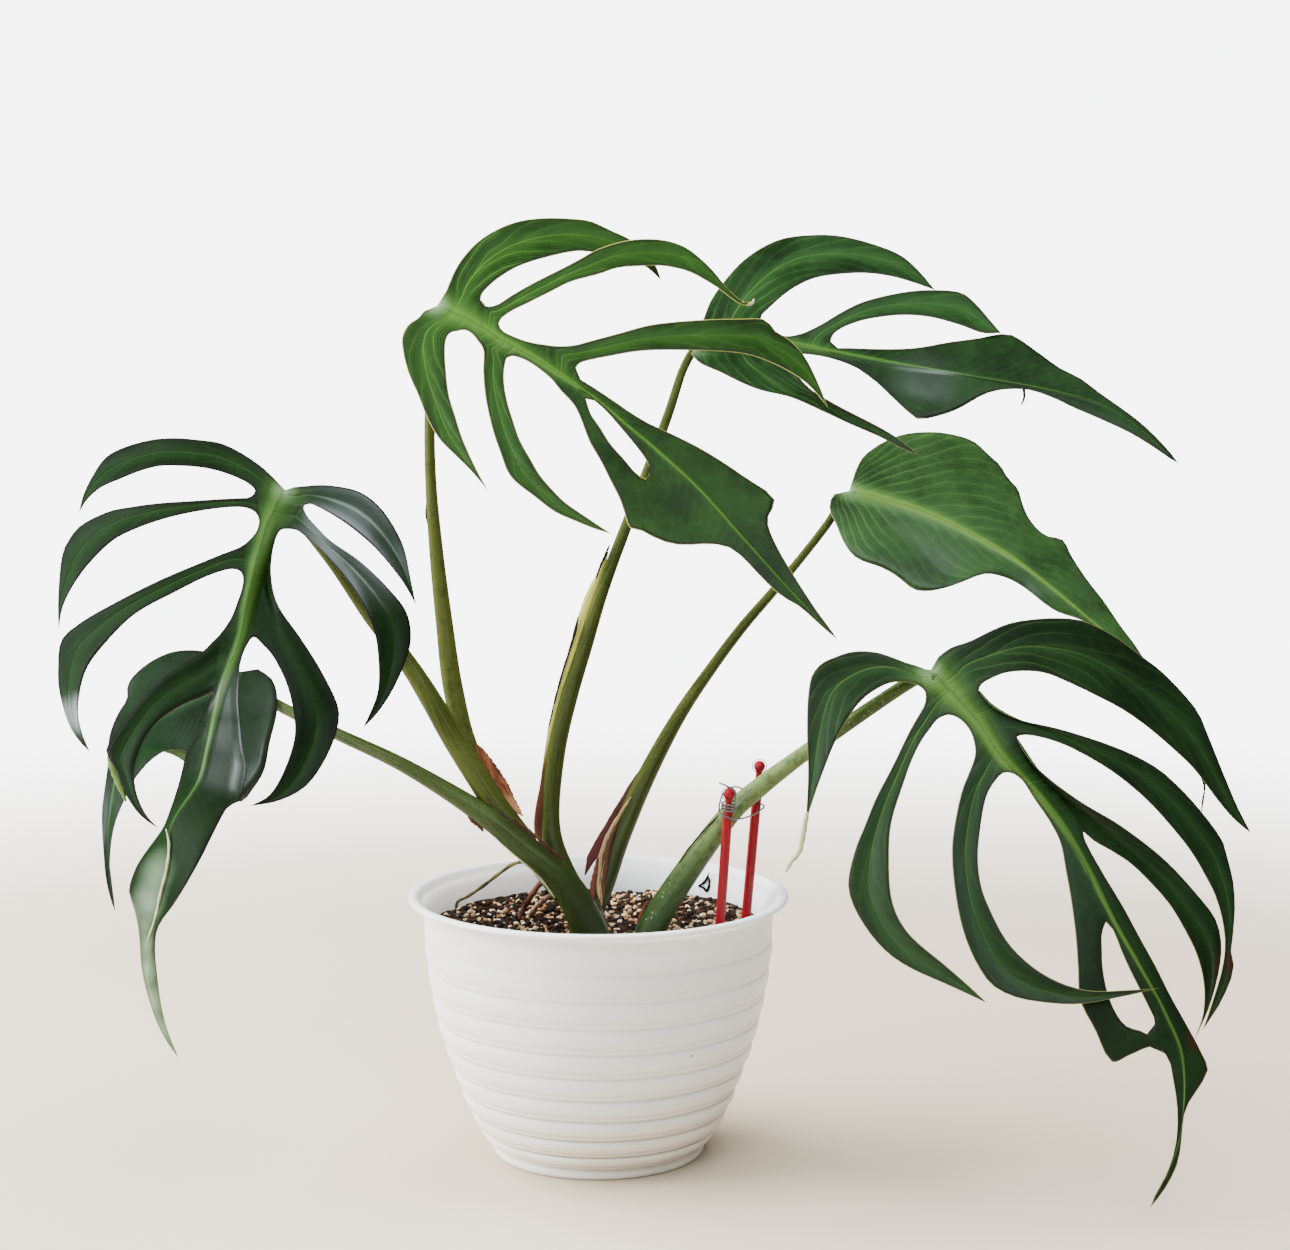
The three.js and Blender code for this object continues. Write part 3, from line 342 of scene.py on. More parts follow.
def lay(bm, columns, rows, place, layer=None, run=None):
    """A grid of faces, each point put where place(column, row) says, in metres. run(column, row)
    gives the two numbers of its map. The points come back with their column and row."""
    laid = []
    for vert in bmesh.ops.create_grid(bm, x_segments=columns, y_segments=rows, size=1)["verts"]:
        column = round((vert.co.x + 1) / 2 * columns)
        row = round((vert.co.y + 1) / 2 * rows)
        vert.co = place(column, row)
        laid.append((vert, column, row))
        if layer:
            for loop in vert.link_loops:
                loop[layer].uv = run(column, row)
    return laid


def ground_at(x, y):
    """The ground's height at a place on it."""
    height = SOIL_HEIGHT - GROUND_SUNK
    for width, part, rise in GROUND_BUMPS:
        height += noise.noise((x / width, y / width, part)) * rise
    return height


def ground_place(column, row):
    turn = 2 * math.pi * column / GROUND_TURNS
    if row <= GROUND_RINGS:
        r = SOIL_RADIUS * row / GROUND_RINGS
        x, y = r * math.cos(turn), r * math.sin(turn)
        return Vector((x, y, ground_at(x, y))) * MM
    r, z = GROUND_SIDE[row - GROUND_RINGS - 1]
    return Vector((r * math.cos(turn), r * math.sin(turn), z)) * MM


def ground_mix():
    finish = Finish("soil_dark", Specular_IOR_Level=0.3)
    crumbs = finish.cloud(700.0, 4.0, 0.7)
    patches = finish.cloud(90.0, 3.0)
    color = finish.mix(crumbs.ramp(0.35, 0.7), paint(12, 8, 6), paint(44, 28, 20))
    color = finish.mix(patches.ramp(0.5, 0.75) * 0.5, color, paint(66, 42, 26))
    return finish.done(Base_Color=color, Roughness=0.95, height=crumbs, depth=0.0006)


def soil():
    bm = bmesh.new()
    lay(bm, GROUND_TURNS, GROUND_RINGS + len(GROUND_SIDE), ground_place)
    piece = finished("soil_ground", bm, [ground_mix()])
    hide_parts("soil")


def grain_finish(name, first, second, roughness):
    finish = Finish(name, Specular_IOR_Level=0.4)
    tone = finish.cloud(260.0, 2.0).ramp(0.35, 0.65)
    pits = finish.cloud(1800.0, 3.0)
    color = finish.mix(tone, paint(*first), paint(*second))
    color = finish.mix(pits.ramp(0.6, 0.8) * 0.35, color, paint(60, 46, 36))
    return finish.done(Base_Color=color, Roughness=roughness, height=pits, depth=0.0003)


def grain_shapes(rng):
    """A few rough pebbles one unit across, each a cube made round and then uneven."""
    shapes = []
    for _ in range(GRAIN_SHAPES):
        bm = bmesh.new()
        bmesh.ops.create_cube(bm, size=1)
        bmesh.ops.subdivide_edges(bm, edges=bm.edges, cuts=1, use_grid_fill=True)
        for vert in bm.verts:
            vert.co = vert.co.normalized() * 0.5 * rng.uniform(*GRAIN_UNEVEN)
        mesh = bpy.data.meshes.new("grain_shape")
        bm.to_mesh(mesh)
        bm.free()
        shapes.append(mesh)
    return shapes


def grain_place(rng, least, most):
    """A random size, place and turn on the ground."""
    size = rng.uniform(least, most)
    r = (SOIL_RADIUS - GRAIN_OFF_WALL - size / 2) * math.sqrt(rng.random())
    turn = rng.uniform(0, 2 * math.pi)
    x, y = r * math.cos(turn), r * math.sin(turn)
    at = Vector((x, y, ground_at(x, y) + size * rng.uniform(*GRAIN_RAISED)))
    turned = Matrix.Rotation(rng.uniform(*GRAIN_TURNED), 4, "Z")
    spin = turned @ Matrix.Rotation(rng.uniform(*GRAIN_TIPPED), 4, "X")
    wide, tall = size * rng.uniform(*GRAIN_WIDE), size * rng.uniform(*GRAIN_TALL)
    return Matrix.Translation(at * MM) @ spin @ Matrix.Diagonal((size * MM, wide * MM, tall * MM, 1))


def grains():
    rng = random.Random(GRAIN_SEED)
    shapes = grain_shapes(rng)
    for name, count, least, most, first, second, roughness in GRAINS:
        bm = bmesh.new()
        for _ in range(count):
            place = grain_place(rng, least, most)
            mesh = rng.choice(shapes).copy()
            mesh.transform(place)
            bm.from_mesh(mesh)
            bpy.data.meshes.remove(mesh)
        piece = finished(name, bm, [grain_finish(name, first, second, roughness)], merge=1e-7)
    for mesh in shapes:
        bpy.data.meshes.remove(mesh)


soil()
grains()

# Crown
# The short woody stem in the middle, ringed by old scars, that all the shoots but the right-hand
# one spring from.
#
# Paths and outlines are read off the photograph, 1290 by 1250 pixels, and set at a depth in
# millimetres: a path's point is pixel x, pixel y, depth and width in pixels.
VIEW_FROM = Vector((22, -1238, 395))
VIEW_PITCH = math.radians(6.556)
VIEW_FOCAL = 2654
VIEW_MIDDLE = (645, 625)
CROWN_PATH = "589,1010,-13,36 589,960,-13,42 588,925,-13,38 587,903,-13,28"
CROWN_STEPS = 60
CROWN_SIDES = 36


def sight(px, py, depth):
    """The point at a depth on the line of sight through a pixel, in metres."""
    right = (px - VIEW_MIDDLE[0]) / VIEW_FOCAL
    up = (VIEW_MIDDLE[1] - py) / VIEW_FOCAL
    cos, sin = math.cos(VIEW_PITCH), math.sin(VIEW_PITCH)
    ray = Vector((right, cos + up * sin, up * cos - sin))
    return (VIEW_FROM + ray * ((depth - VIEW_FROM.y) / ray.y)) * MM


def knots(text):
    """Points from text: commas part a point's numbers, and spaces the points."""
    return [Vector([float(n) for n in point.split(",")]) for point in text.split()]


def through(points, before=None, after=None, per=12):
    """A smooth line through the points, with per steps from each to the next. before and after
    are where it comes from and goes to."""
    first = 2 * points[0] - points[1] if before is None else before
    last = 2 * points[-1] - points[-2] if after is None else after
    run = [first, *points, last]
    line = [points[0].copy()]
    for p0, p1, p2, p3 in zip(run, run[1:], run[2:], run[3:]):
        t1 = max((p1 - p0).length, 1e-6) ** 0.5
        t2 = t1 + (p2 - p1).length ** 0.5
        t3 = t2 + max((p3 - p2).length, 1e-6) ** 0.5
        for i in range(1, per + 1):
            t = t1 + (t2 - t1) * i / per
            a1 = p0.lerp(p1, t / t1)
            a2 = p1.lerp(p2, (t - t1) / (t2 - t1))
            a3 = p2.lerp(p3, (t - t2) / (t3 - t2))
            b1 = a1.lerp(a2, t / t2)
            b2 = a2.lerp(a3, (t - t1) / (t3 - t1))
            line.append(b1.lerp(b2, (t - t1) / (t2 - t1)))
    return line


def evenly(line, count, ease=1.0):
    """count steps along a line, which grow along it where ease is over 1."""
    far = [0.0]
    for a, b in zip(line, line[1:]):
        far.append(far[-1] + (b - a).length)
    out = []
    j = 0
    for i in range(count + 1):
        way = far[-1] * (i / count) ** ease
        while j < len(line) - 2 and far[j + 1] < way:
            j += 1
        part = (way - far[j]) / max(far[j + 1] - far[j], 1e-9)
        out.append(line[j].lerp(line[j + 1], min(1.0, max(0.0, part))))
    out[-1] = line[-1].copy()
    return out


def path_points(text, count):
    """Places and radii in metres, count steps along a path."""
    points = []
    for x, y, depth, width in knots(text):
        radius = width * (depth - VIEW_FROM.y) / VIEW_FOCAL / 2 * MM
        points.append(Vector((*sight(x, y, depth), radius)))
    return evenly(through(points), count)


def tube(bm, points, sides, shape=None, closed=False):
    """A tube along points of (x, y, z, radius). shape(turn, way) scales its radius, from turn 0 at
    the front."""
    rows = len(points) - 1
    rings = []
    side = Vector((0, -1, 0))
    total = [0.0]
    for i, point in enumerate(points):
        here = points[max(i - 1, 0)].xyz
        ahead = points[min(i + 1, rows)].xyz
        if closed and i in (0, rows):
            here, ahead = points[-2].xyz, points[1].xyz
        heading = (ahead - here).normalized()
        side = (side - heading * side.dot(heading)).normalized()
        rings.append((point.xyz, side.copy(), heading.cross(side), point.w))
        if i:
            total.append(total[-1] + (point.xyz - points[i - 1].xyz).length)

    def place(column, row):
        ring = min(max(row - 1, 0), rows)
        centre, toward, across, radius = rings[ring]
        if not closed and row in (0, rows + 2):
            return centre
        turn = 2 * math.pi * (column % sides) / sides
        reach = radius * (shape(turn, ring / rows) if shape else 1)
        return centre + reach * (toward * math.cos(turn) + across * math.sin(turn))

    def run(column, row):
        ring = min(max(row - 1, 0), rows)
        return (2 * math.pi * rings[ring][3] * column / sides / MM, total[ring] / MM)

    layer = bm.loops.layers.uv.get("run") or bm.loops.layers.uv.new("run")
    if closed:
        lay(bm, sides, rows, lambda c, r: place(c, r + 1), layer, lambda c, r: run(c, r + 1))
    else:
        lay(bm, sides, rows + 2, place, layer, run)


def crown_bark():
    finish = Finish("crown_bark", Specular_IOR_Level=0.35)
    length = finish.run("run")[1]
    rings = (length * 0.55 + finish.cloud(60.0) * 1.2).math("SINE")
    streak = finish.cloud(190.0, 4.0)
    color = finish.mix(streak.ramp(0.35, 0.65), paint(26, 30, 12), paint(54, 58, 24))
    color = finish.mix(rings.ramp(0.72, 0.98) * 0.6, color, paint(104, 78, 46))
    return finish.done(Base_Color=color, Roughness=0.62, height=rings * 0.3 + streak, depth=0.0005)


def crown_shape(turn, way):
    return 1 + 0.05 * math.sin(way * 26) + 0.03 * math.sin(3 * turn + way * 5)


def crown():
    bm = bmesh.new()
    tube(bm, path_points(CROWN_PATH, CROWN_STEPS), CROWN_SIDES, crown_shape)
    piece = finished("crown_stem", bm, [crown_bark()])
    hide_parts("crown")


crown()

# Petioles
# Six smooth green leaf stalks, round below and channelled above, that swell where they clasp the
# crown. The left upright one turns paler further up, and the right-hand one is pale and speckled.
STALK_STEPS = 150
STALK_SIDES = 36
PETIOLES = {
    "petiole_1": "588,925,-13,18 572,906,-12,20 535,858,-5,20 497,800,-2,20 468,745,1,21 453,685,6,21 "
    "445,625,11,18 437,555,17,15 431,480,23,12 430,410,27,11 433,350,28,10 439,318,25,10 446,310,18.5,8",
    "petiole_2": "588,925,-13,16 581,900,-6,18 564,868,0,20 553,842,4,22 551,815,8,19 557,750,16,19.5 "
    "570,695,25,18.5 584,650,33,16.5 602,592,44,14 627,525,58,12 650,465,70,11 670,410,81,10 "
    "684,368,89,9 694,351,91,9 706,346,85,7",
    "petiole_3": "588,925,-13,16 597,906,-7,18 606,880,2,21 620,838,11,22 646,778,24,20 680,715,39,15 "
    "712,668,52,12 742,628,64,11 773,592,76,10 803,556,88,9 827,525,99,9 843,502,106,8 856,493,100.5,6",
    "petiole_4": "636,975,-18,30 651,930,-18,31 667,902,-14,29 703,850,-4,26 735,809,2,22 762,786,3,20 "
    "800,757,-3,17 842,728,-10,16 880,702,-16,15 908,684,-20,14 926,675,-22,12 936,678,-28,9",
    "petiole_5": "586,922,-14,20 560,890,-19,22 520,836,-19,25 495,803,-17,25 475,772,-15,25 "
    "452,735,-13,24 430,697,-11,22 406,660,-8,19 372,617,-4,17 337,566,0,15 302,520,2,14 289,497,-3,13 "
    "281,499,-11,9",
    "petiole_6": "598,972,-22,34 593,940,-23,38 583,915,-24,36 572,893,-25,33 557,873,-26,29 "
    "542,860,-26,27 524,846,-25,26 500,826,-24,25 475,808,-21,22 450,792,-17,19 400,763,-4,15 "
    "336,733,20,13 282,707,46,12 258,693,56,11 240,683,60,11 229,678,59,10 222,680,51,8",
}
# Shade, lit side, foot, speck and how strong the specks are, then a paler colour further up and
# where it starts and ends.
STALK_FINISHES = {
    "petiole_olive": ((40, 48, 10), (66, 74, 20), (36, 44, 14), (24, 28, 10), 0.35),
    "petiole_green": ((34, 46, 14), (54, 68, 26), (26, 34, 12), (18, 26, 10), 0.6),
    "petiole_tall": (
        (40, 48, 10), (66, 74, 20), (34, 42, 12), (24, 28, 10), 0.35, (76, 82, 30), (60, 130, 900, 800),
    ),
    "petiole_pale": (
        (44, 64, 20), (76, 96, 46), (22, 40, 14), (150, 166, 120), 0.6, (112, 130, 76), (30, 85, 175, 130),
    ),
}
STALK_LOOKS = {"petiole_1": "petiole_tall", "petiole_4": "petiole_pale", "petiole_6": "petiole_green"}


def stalk_finish(name, shade, lit, foot, speck, specks, top=None, span=None):
    finish = Finish(name, Specular_IOR_Level=0.2)
    around, length = finish.run("run")
    streak = finish.fibres(around * 0.9, length * 0.02)
    patch = finish.cloud(22.0, 3.0)
    crumbs = finish.cloud(900.0, 3.0, 0.7)
    color = finish.mix(streak.ramp(0.3, 0.7), paint(*shade), paint(*lit))
    color = finish.mix(patch.ramp(0.45, 0.75) * 0.45, color, paint(*[c + 20 for c in lit]))
    color = finish.mix(crumbs.ramp(0.4, 0.7) * 0.4, color, paint(*[c * 0.6 for c in shade]))
    if top:
        share = length.ramp(*span[:2]) * length.ramp(*span[2:]) * (streak * 0.5 + 0.4)
        color = finish.mix(share, color, paint(*top))
        blotches = finish.cloud(240.0, 4.0, 0.7).ramp(0.5, 0.62) * 0.5
        color = finish.mix(blotches, color, paint(*[c * 0.6 for c in lit]))
    color = finish.mix(length.ramp(95.0, 10.0) * 0.85, color, paint(*foot))
    cells = finish.node("TexVoronoi", None, {"Vector": finish.place(1, 1, 0.6), "Scale": 420.0})
    dots = cells.ramp(0.22, 0.08) * finish.cloud(130.0, 2.0).ramp(0.45, 0.6)
    color = finish.mix(dots * specks, color, paint(*speck))
    rough = streak * 0.12 + 0.38
    return finish.done(Base_Color=color, Roughness=rough, height=streak * 0.5 + dots, depth=0.00015)


def stalk_shape(turn, way):
    """Round, with a shallow channel on the upper side, and a little uneven."""
    channel = math.exp(-((math.cos(turn / 2 - math.pi / 4) - 1) ** 2) * 60)
    return 1 - 0.1 * channel * min(1, way * 3) + 0.015 * math.sin(2 * turn + way * 9)


def petioles():
    finishes = {name: stalk_finish(name, *look) for name, look in STALK_FINISHES.items()}
    for name, path in PETIOLES.items():
        bm = bmesh.new()
        tube(bm, path_points(path, STALK_STEPS), STALK_SIDES, stalk_shape)
        piece = finished(name + "_stalk", bm, [finishes[STALK_LOOKS.get(name, "petiole_olive")]])
        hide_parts(name)


petioles()

# Blades
# Six glossy leathery leaves, dark green above with pale ribs and a fine dark purple edge. Each is
# one sheet grown out from its midrib: long lobes with round bays between them, and ribbons of
# blade that follow the midrib. Deep cuts, holes, a pale foot and withered tips are part of it.
#
# lean is how far the sheet goes back for each pixel right and down, bow how far its middle stands
# forward, fold how far a pixel off the midrib stands forward, droop how far 100 pixels off the
# midrib fall back, wave how high its margins wave, and lift how far back a lobe's tip is set. rib
# is how much wider the pale rib is at the foot, fade how it ends before the tip, fan how the fine
# veins slant, and spread how dense they are.
#
# A lobe runs from its root, a run of the midrib's points, between a near and a far edge that each
# start at a cut. A ribbon's margin starts at its cut, in stretches with their share of steps. After
# it come what its inner line goes on with past the midrib, a cut line, the edge of a hole and a
# web, and where the margin turns away from the rest of the sheet, how far back its middle is set.
FINE = 6
CUT_STEPS = 2
LOBE_STEPS = 7
LOBE_EASE = 1.25
SHARP_TURN = 0.55
GUTTER = 0.05
WAVE_STEP = 0.4
PALE_FOOT = 8
VEINED_FOOT = 95
LOBE_VEIN_SLOPE = 0.2
RIBBON_VEIN_SLOPE = 0.9
VEIN_GAP = 5.5
NO_OWN_VEIN = 40.0
RIB_HALF = 0.45
RIB_TAPER = 1.5
FADE_FROM = 0.55
BLADE_THICKNESS = 2.0
STOUT_RIB = 1.3
EDGE_THIN = 0.25
FRONT = Vector((0, -0.8, 0.6))
LEAVES = {
    "leaf_1": {
        "depth": 20, "lean": (-0.04, -0.25), "bow": 8, "fold": 0.06, "droop": 9, "rib": 3.2,
        "midrib": "437,306 453,313 470,321 487,331 503,341 521,351 540,362 560,375 580,388 620,420 "
        "660,453 700,490 745,540 790,590 837,639",
        "lobes": [
            (0, 2, "446,291 455,270 465,255 480,240 500,228 520,221 545,218 575,219 590,221 610,230 "
             "631,240 646,252 656,266",
             "481,300 482,294 489,286 500,277 519,266 547,257 577,251 592,252 615,254 635,261 649,269",
             "661,280", 14),
            (2, 4, "481,300 485,306 496,305 512,295 535,282 559,270 580,259 594,251 613,244 631,240 "
             "650,239 668,241 685,247 700,258 715,273 727,288 739,299 745,303",
             "499,324 501,319 510,312 530,302 550,292 570,282 599,274 617,268 640,266 665,266 690,272 "
             "705,280 718,288 735,301 745,306",
             "752,301", -4),
            (6, 8, "548,345 560,346 575,345 590,341 620,333 650,325 700,320 740,319 766,320 775,331 "
             "785,337 795,345 805,357 815,376 824,397",
             "576,368 580,363 590,360 610,356 640,351 680,350 730,352 750,355 770,362 790,372 805,382 "
             "818,395",
             "828,408", 0),
            (0, 2, "424,311 418,318 408,325 402,338 403,352 408,372 418,395 428,420 440,440 455,455 "
             "472,472",
             "458,331 450,333 446,340 445,352 446,370 449,395 455,415 462,437 471,458 480,476",
             "489,492", 0),
            (3, 5, "477,340 483,349 483,370 485,395 492,428 500,452 510,476 535,497 555,512 575,521 "
             "595,529",
             "507,358 505,365 504,380 507,400 513,420 520,440 530,458 540,475 552,489 565,502 585,516",
             "612,534", 0),
        ],
        "ribbons": [
            (4, 6, "499,324", [("502,330 515,337 530,342 548,345", 2)], []),
            (8, 14, "576,368", [
                ("577,376 590,385 610,398 630,412 650,424 670,433 700,448 720,460 745,477 775,500", 3),
                ("768,518 769,528 780,552 795,577 815,608 837,639", 3),
            ], []),
            (2, 3, "458,331", [("465,330 472,334 477,340", 1)], []),
            (5, 8, "507,358", [
                ("510,356 525,360 550,378 560,390 575,407 590,443 600,460 610,480 620,500 "
                 "625,515 630,528", 8),
                ("642,531", 1),
            ], [
                ("586,399", 2),
                ("591,414 600,427 610,443 625,460 635,472 646,479", 3),
                ("642,531", 1),
            ]),
            (8, 14, "586,399", [
                ("593,400 605,410 620,427 635,445 646,460 651,471 646,479", 2),
                ("642,531", 1),
                ("655,538 665,542 680,545 710,544 725,546 735,551 745,560 760,576 780,595 800,607 "
                 "820,625 837,639", 3),
            ], []),
        ],
    },
    "leaf_2": {
        "depth": 86, "lean": (-0.02, -0.3), "bow": 10, "fold": 0.05, "droop": 10, "rib": 2.2,
        "midrib": "697,346 721,344 745,343 768,343 790,344 810,348 830,352 880,361 930,370 980,379 "
        "1050,391 1110,409 1178,463",
        "lobes": [
            (0, 2, "699,330 703,320 710,302 722,284 745,259 778,240 811,235 840,236 876,245 902,256 "
             "919,271",
             "761,321 762,315 768,309 780,298 795,287 815,278 840,274 865,273 890,276 912,282",
             "935,290", 10),
            (4, 6, "800,334 820,325 840,313 860,303 880,297 905,292 930,290 962,293 975,303 990,320",
             "831,342 833,335 842,328 860,321 880,317 905,315 930,317 960,325 983,333",
             "1001,333", -3),
            (0, 4, "691,354 700,363 720,372 740,382 760,390 790,397 820,410 850,424 880,437 905,450",
             "790,356 793,366 800,378 812,390 828,400 850,412 870,422 890,433 906,444",
             "920,456", 6),
        ],
        "ribbons": [
            (2, 4, "761,321", [("766,326 775,332 785,336 800,334", 2)], []),
            (6, 12, "831,342", [
                ("834,347 850,348 885,349 915,348 950,342 980,338 1000,334 1012,335", 3),
                ("1035,350 1060,368 1080,378 1100,393 1120,407 1140,422 1160,441 1178,463", 3),
            ], []),
            (4, 12, "790,356", [
                ("800,354 825,357 850,365 865,373", 2),
                ("880,385 895,400 908,412 917,419", 1),
                ("945,414 960,408 985,394 1000,390 1015,389 1030,390 1050,396 1070,406 1100,419 "
                 "1130,433 1150,445 1178,463", 5),
            ], []),
        ],
    },
    "leaf_3": {
        "depth": 101, "lean": (0.1, -0.27), "bow": 9, "fold": 0.08, "droop": 16, "wave": 2.2,
        "rib": 2.0, "fan": 0.3, "spread": 0.5,
        "midrib": "849,491 880,499 910,508 945,522 980,540 1015,561 1050,588 1085,617 1120,648 "
        "1160,705 1190,751 1203,773 1205,786 1203,800",
        "lobes": [],
        "ribbons": [
            (0, 13, "855,472", [
                ("862,458 875,447 890,439 905,434 925,432 945,433 973,441 990,456 1000,465 1008,478 "
                 "1018,489 1023,505 1030,520 1045,535 1063,540", 6),
                ("1071,555 1086,578 1103,600 1120,625 1140,652 1160,690 1178,727 1193,751 1204,772 "
                 "1205.5,786 1203,800", 7),
            ], []),
            (0, 13, "834,494", [
                ("830,501 830,512 835,522 845,545 855,557 865,562 880,567 895,575 905,583 915,590 "
                 "930,591 945,588 960,583 985,574", 5),
                ("1000,576 1015,582 1030,592 1045,604 1060,613 1080,618 1115,650 1150,700 1172,736 "
                 "1190,757 1202,775 1204.5,786 1203,800", 8),
            ], []),
        ],
    },
    "leaf_4": {
        "depth": -26, "lean": (0, -0.16), "bow": 10, "fold": 0.05, "droop": 10, "rib": 6,
        "midrib": "930,671 936,677 943,684 950,691 957,698 967,710 978,722 995,748 1012,769 1040,799 "
        "1066,832 1092,878 1112,917 1140,967 1165,1013 1182,1057 1179,1140 1150,1208",
        "lobes": [
            (0, 4, "938,657 950,648 970,641 990,631 1010,623 1035,619 1060,618 1080,620 1100,628 "
             "1120,640 1140,655 1160,670 1180,690 1198,712 1208,735 1222,770 1238,808",
             "979,690 982,684 990,679 1005,673 1025,671 1045,673 1070,683 1095,695 1120,708 1145,725 "
             "1180,755 1195,770 1220,803 1236,821",
             "1251,833", 0),
            (4, 7, "979,690 984,698 992,706 1005,714 1020,720 1060,729 1110,745 1140,758 1160,770 "
             "1180,788 1200,810 1223,842 1228,860 1233,880 1235,905 1233,935 1231,955 1234,968 "
             "1222,1000 1211,1018",
             "1017,737 1024,735 1035,736 1060,743 1085,755 1110,770 1130,785 1150,803 1170,825 "
             "1190,850 1205,875 1217,900 1225,938 1223,965 1213,1000",
             "1203,1030", -5),
            (7, 10, "1017,737 1020,745 1030,760 1045,775 1080,801 1120,825 1165,860 1200,898 1215,918 "
             "1221,940 1220,965 1210,1005",
             "1083,832 1094,841 1110,850 1130,863 1150,882 1170,905 1185,930 1197,955 1204,985 "
             "1203,1015",
             "1194,1041", 4),
            (0, 2, "918,666 905,662 892,657 880,653 865,651 850,652 835,657 822,663 812,675 808,695 "
             "807,715 807,740 808,775",
             "925,692 919,686 905,682 890,683 875,690 862,700 850,715 836,740 820,780 813,800",
             "806,822", 0),
            (2, 4, "925,692 925,703 918,716 910,730 893,765 875,800 865,825 855,850 848,885 853,905 "
             "862,922 875,940 890,955 910,968 950,986",
             "948,715 938,719 930,729 922,740 912,760 903,785 891,825 889,860 891,895 897,915 910,935 "
             "945,965 968,985",
             "987,1003", 0),
            (6, 8, "974,742 975,755 968,775 962,790 953,835 952,860 958,910 966,940 978,966 992,985 "
             "1015,997 1050,1003 1080,1004 1125,996",
             "1011,773 1003,773 996,780 987,795 979,840 978,860 981,885 988,905 1010,945 1045,975 "
             "1085,990 1130,990",
             "1160,988", -7),
        ],
        "ribbons": [
            (10, 17, "1083,832", [
                ("1085,840 1100,868 1125,910 1140,938 1155,965 1170,995 1185,1022 1200,1050 1208,1070", 5),
                ("1197,1090 1186,1108 1183,1122 1181,1145 1177,1165 1166,1187 1150,1208", 2),
            ], []),
            (4, 6, "948,715", [("956,717 963,722 970,731 974,742", 2)], []),
            (8, 12, "1011,773", [
                ("1020,778 1035,800 1050,822 1060,842 1066,872", 5),
                ("1071,900 1076,940 1078,970 1080,1000 1095,1030 1112,1062", 3),
                ("1130,1055 1150,1047", 2),
            ], [
                ("1106,922", 2),
                ("1102,934 1102,950 1103,970 1110,1000 1125,1025 1147,1034", 3),
                ("1150,1047", 1),
            ]),
            (12, 17, "1106,922", [
                ("1113,930 1121,950 1130,970 1150,1010 1156,1026 1147,1034", 2),
                ("1150,1047", 1),
                ("1160,1048 1168,1057 1174,1085 1177,1105 1177,1135 1172,1160 1163,1185 1150,1208", 2),
            ], []),
        ],
    },
    "leaf_5": {
        "depth": -10, "lean": (0, -0.13), "bow": 8, "fold": 0.05, "droop": 9, "rib": 5, "fade": 5,
        "midrib": "285,490 282,496 279,502 274,513 268,526 263,542 257,562 252,582 246,610 241,638 "
        "222,690 209,745 199,782 172,826 168,868 153,926 148,970 161,1020 178,1057",
        "lobes": [
            (0, 2, "274,478 262,467 240,452 220,443 200,440 175,438 150,440 120,449 105,458 92,477 "
             "83,496",
             "255,491 249,484 240,479 222,472 205,468 185,466 160,466 140,471 120,479 100,488 86,501",
             "79,513", 0),
            (2, 4, "255,491 250,497 240,498 220,499 190,501 160,503 130,507 110,511 80,526 70,538 "
             "63,552 58.5,590 58,612",
             "259,521 257,514 250,509 240,507 205,510 160,520 120,536 105,547 80,575 63,606",
             "58.5,630", 0),
            (5, 7, "247,542 240,547 222,554 200,563 160,580 120,600 80,623 61.5,640 58,670 59,690 "
             "70,727 80,742",
             "243,577 240,571 232,569 210,575 175,592 135,614 108,640 86,670 78,710 82,733",
             "90,752", 0),
            (9, 10, "220,634 212,642 203,651 178,666 159,681 147,693 125,720 112,738 106,750 110,760 "
             "117,771 126,795 139,814 150,823",
             "214,692 203,696 178,707 157,722 145,738 138,754 134,771 137,795 145,813 152,822",
             "160,829", -3),
            (0, 2, "294,487 305,486 325,485 355,490 370,498 385,513 403,545 411,580",
             "304,506 310,504 318,507 345,523 375,548 400,578 409,592",
             "416,605", 0),
            (2, 4, "304,506 306,514 317,527 330,540 360,561 390,590 407,613 411,640 403,668 390,695 "
             "376,715",
             "287,529 296,530 305,536 330,560 357,595 374,630 379,675 377,695 370,713",
             "363,728", 0),
            (5, 9, "276,538 272,555 271,575 277,603 300,637 322,672 339,710 337,730 325,760 305,787 "
             "278,801",
             "250,640 254,637 263,645 272,655 287,685 295,725 293,745 278,783 267,797",
             "250,806", 0),
        ],
        "ribbons": [
            (4, 5, "259,521", [("256,532 247,542", 1)], []),
            (7, 9, "243,577", [("242,588 238,600 231,618 220,634", 2)], []),
            (10, 18, "214,692", [
                ("208,708 204,721 196,736 187,751 184,762 180,779 174,799 169,813 164,826", 3),
                ("159,834 150,846 139,862 133,875 129,891", 2),
                ("134,908 138,925 140,945 142,970 150,1003 163,1035 178,1057", 3),
            ], [], 12),
            (4, 5, "287,529", [("281,530 276,538", 1)], []),
            (9, 18, "250,640", [
                ("241,660 239,677 238,701 240,722 242,746 247,771 245,779 240,801", 3),
                ("229,806 216,828 200,860 176,901 158,927 155,945 157,975 162,1010 169,1035 178,1057", 6),
            ], [], -9),
        ],
    },
    "leaf_6": {
        "depth": 51, "lean": (0, -0.2), "bow": 6, "fold": 0.08, "droop": 14, "wave": 1.5,
        "rib": 2.0, "fan": 0.9, "fade": 2,
        "midrib": "226,674 204,689 177,704 153,719 134,740 120,765 112,800 108,850 115,911",
        "lobes": [],
        "ribbons": [
            (0, 8, "203,651", [
                ("190,650 172,652 157,658 143,667 131,679 127,689", 3),
                ("127,699 120,710 114,722 109,738 108,762 105,785 102,812 103,845 107,885 115,911", 5),
            ], []),
            (0, 8, "258,669", [
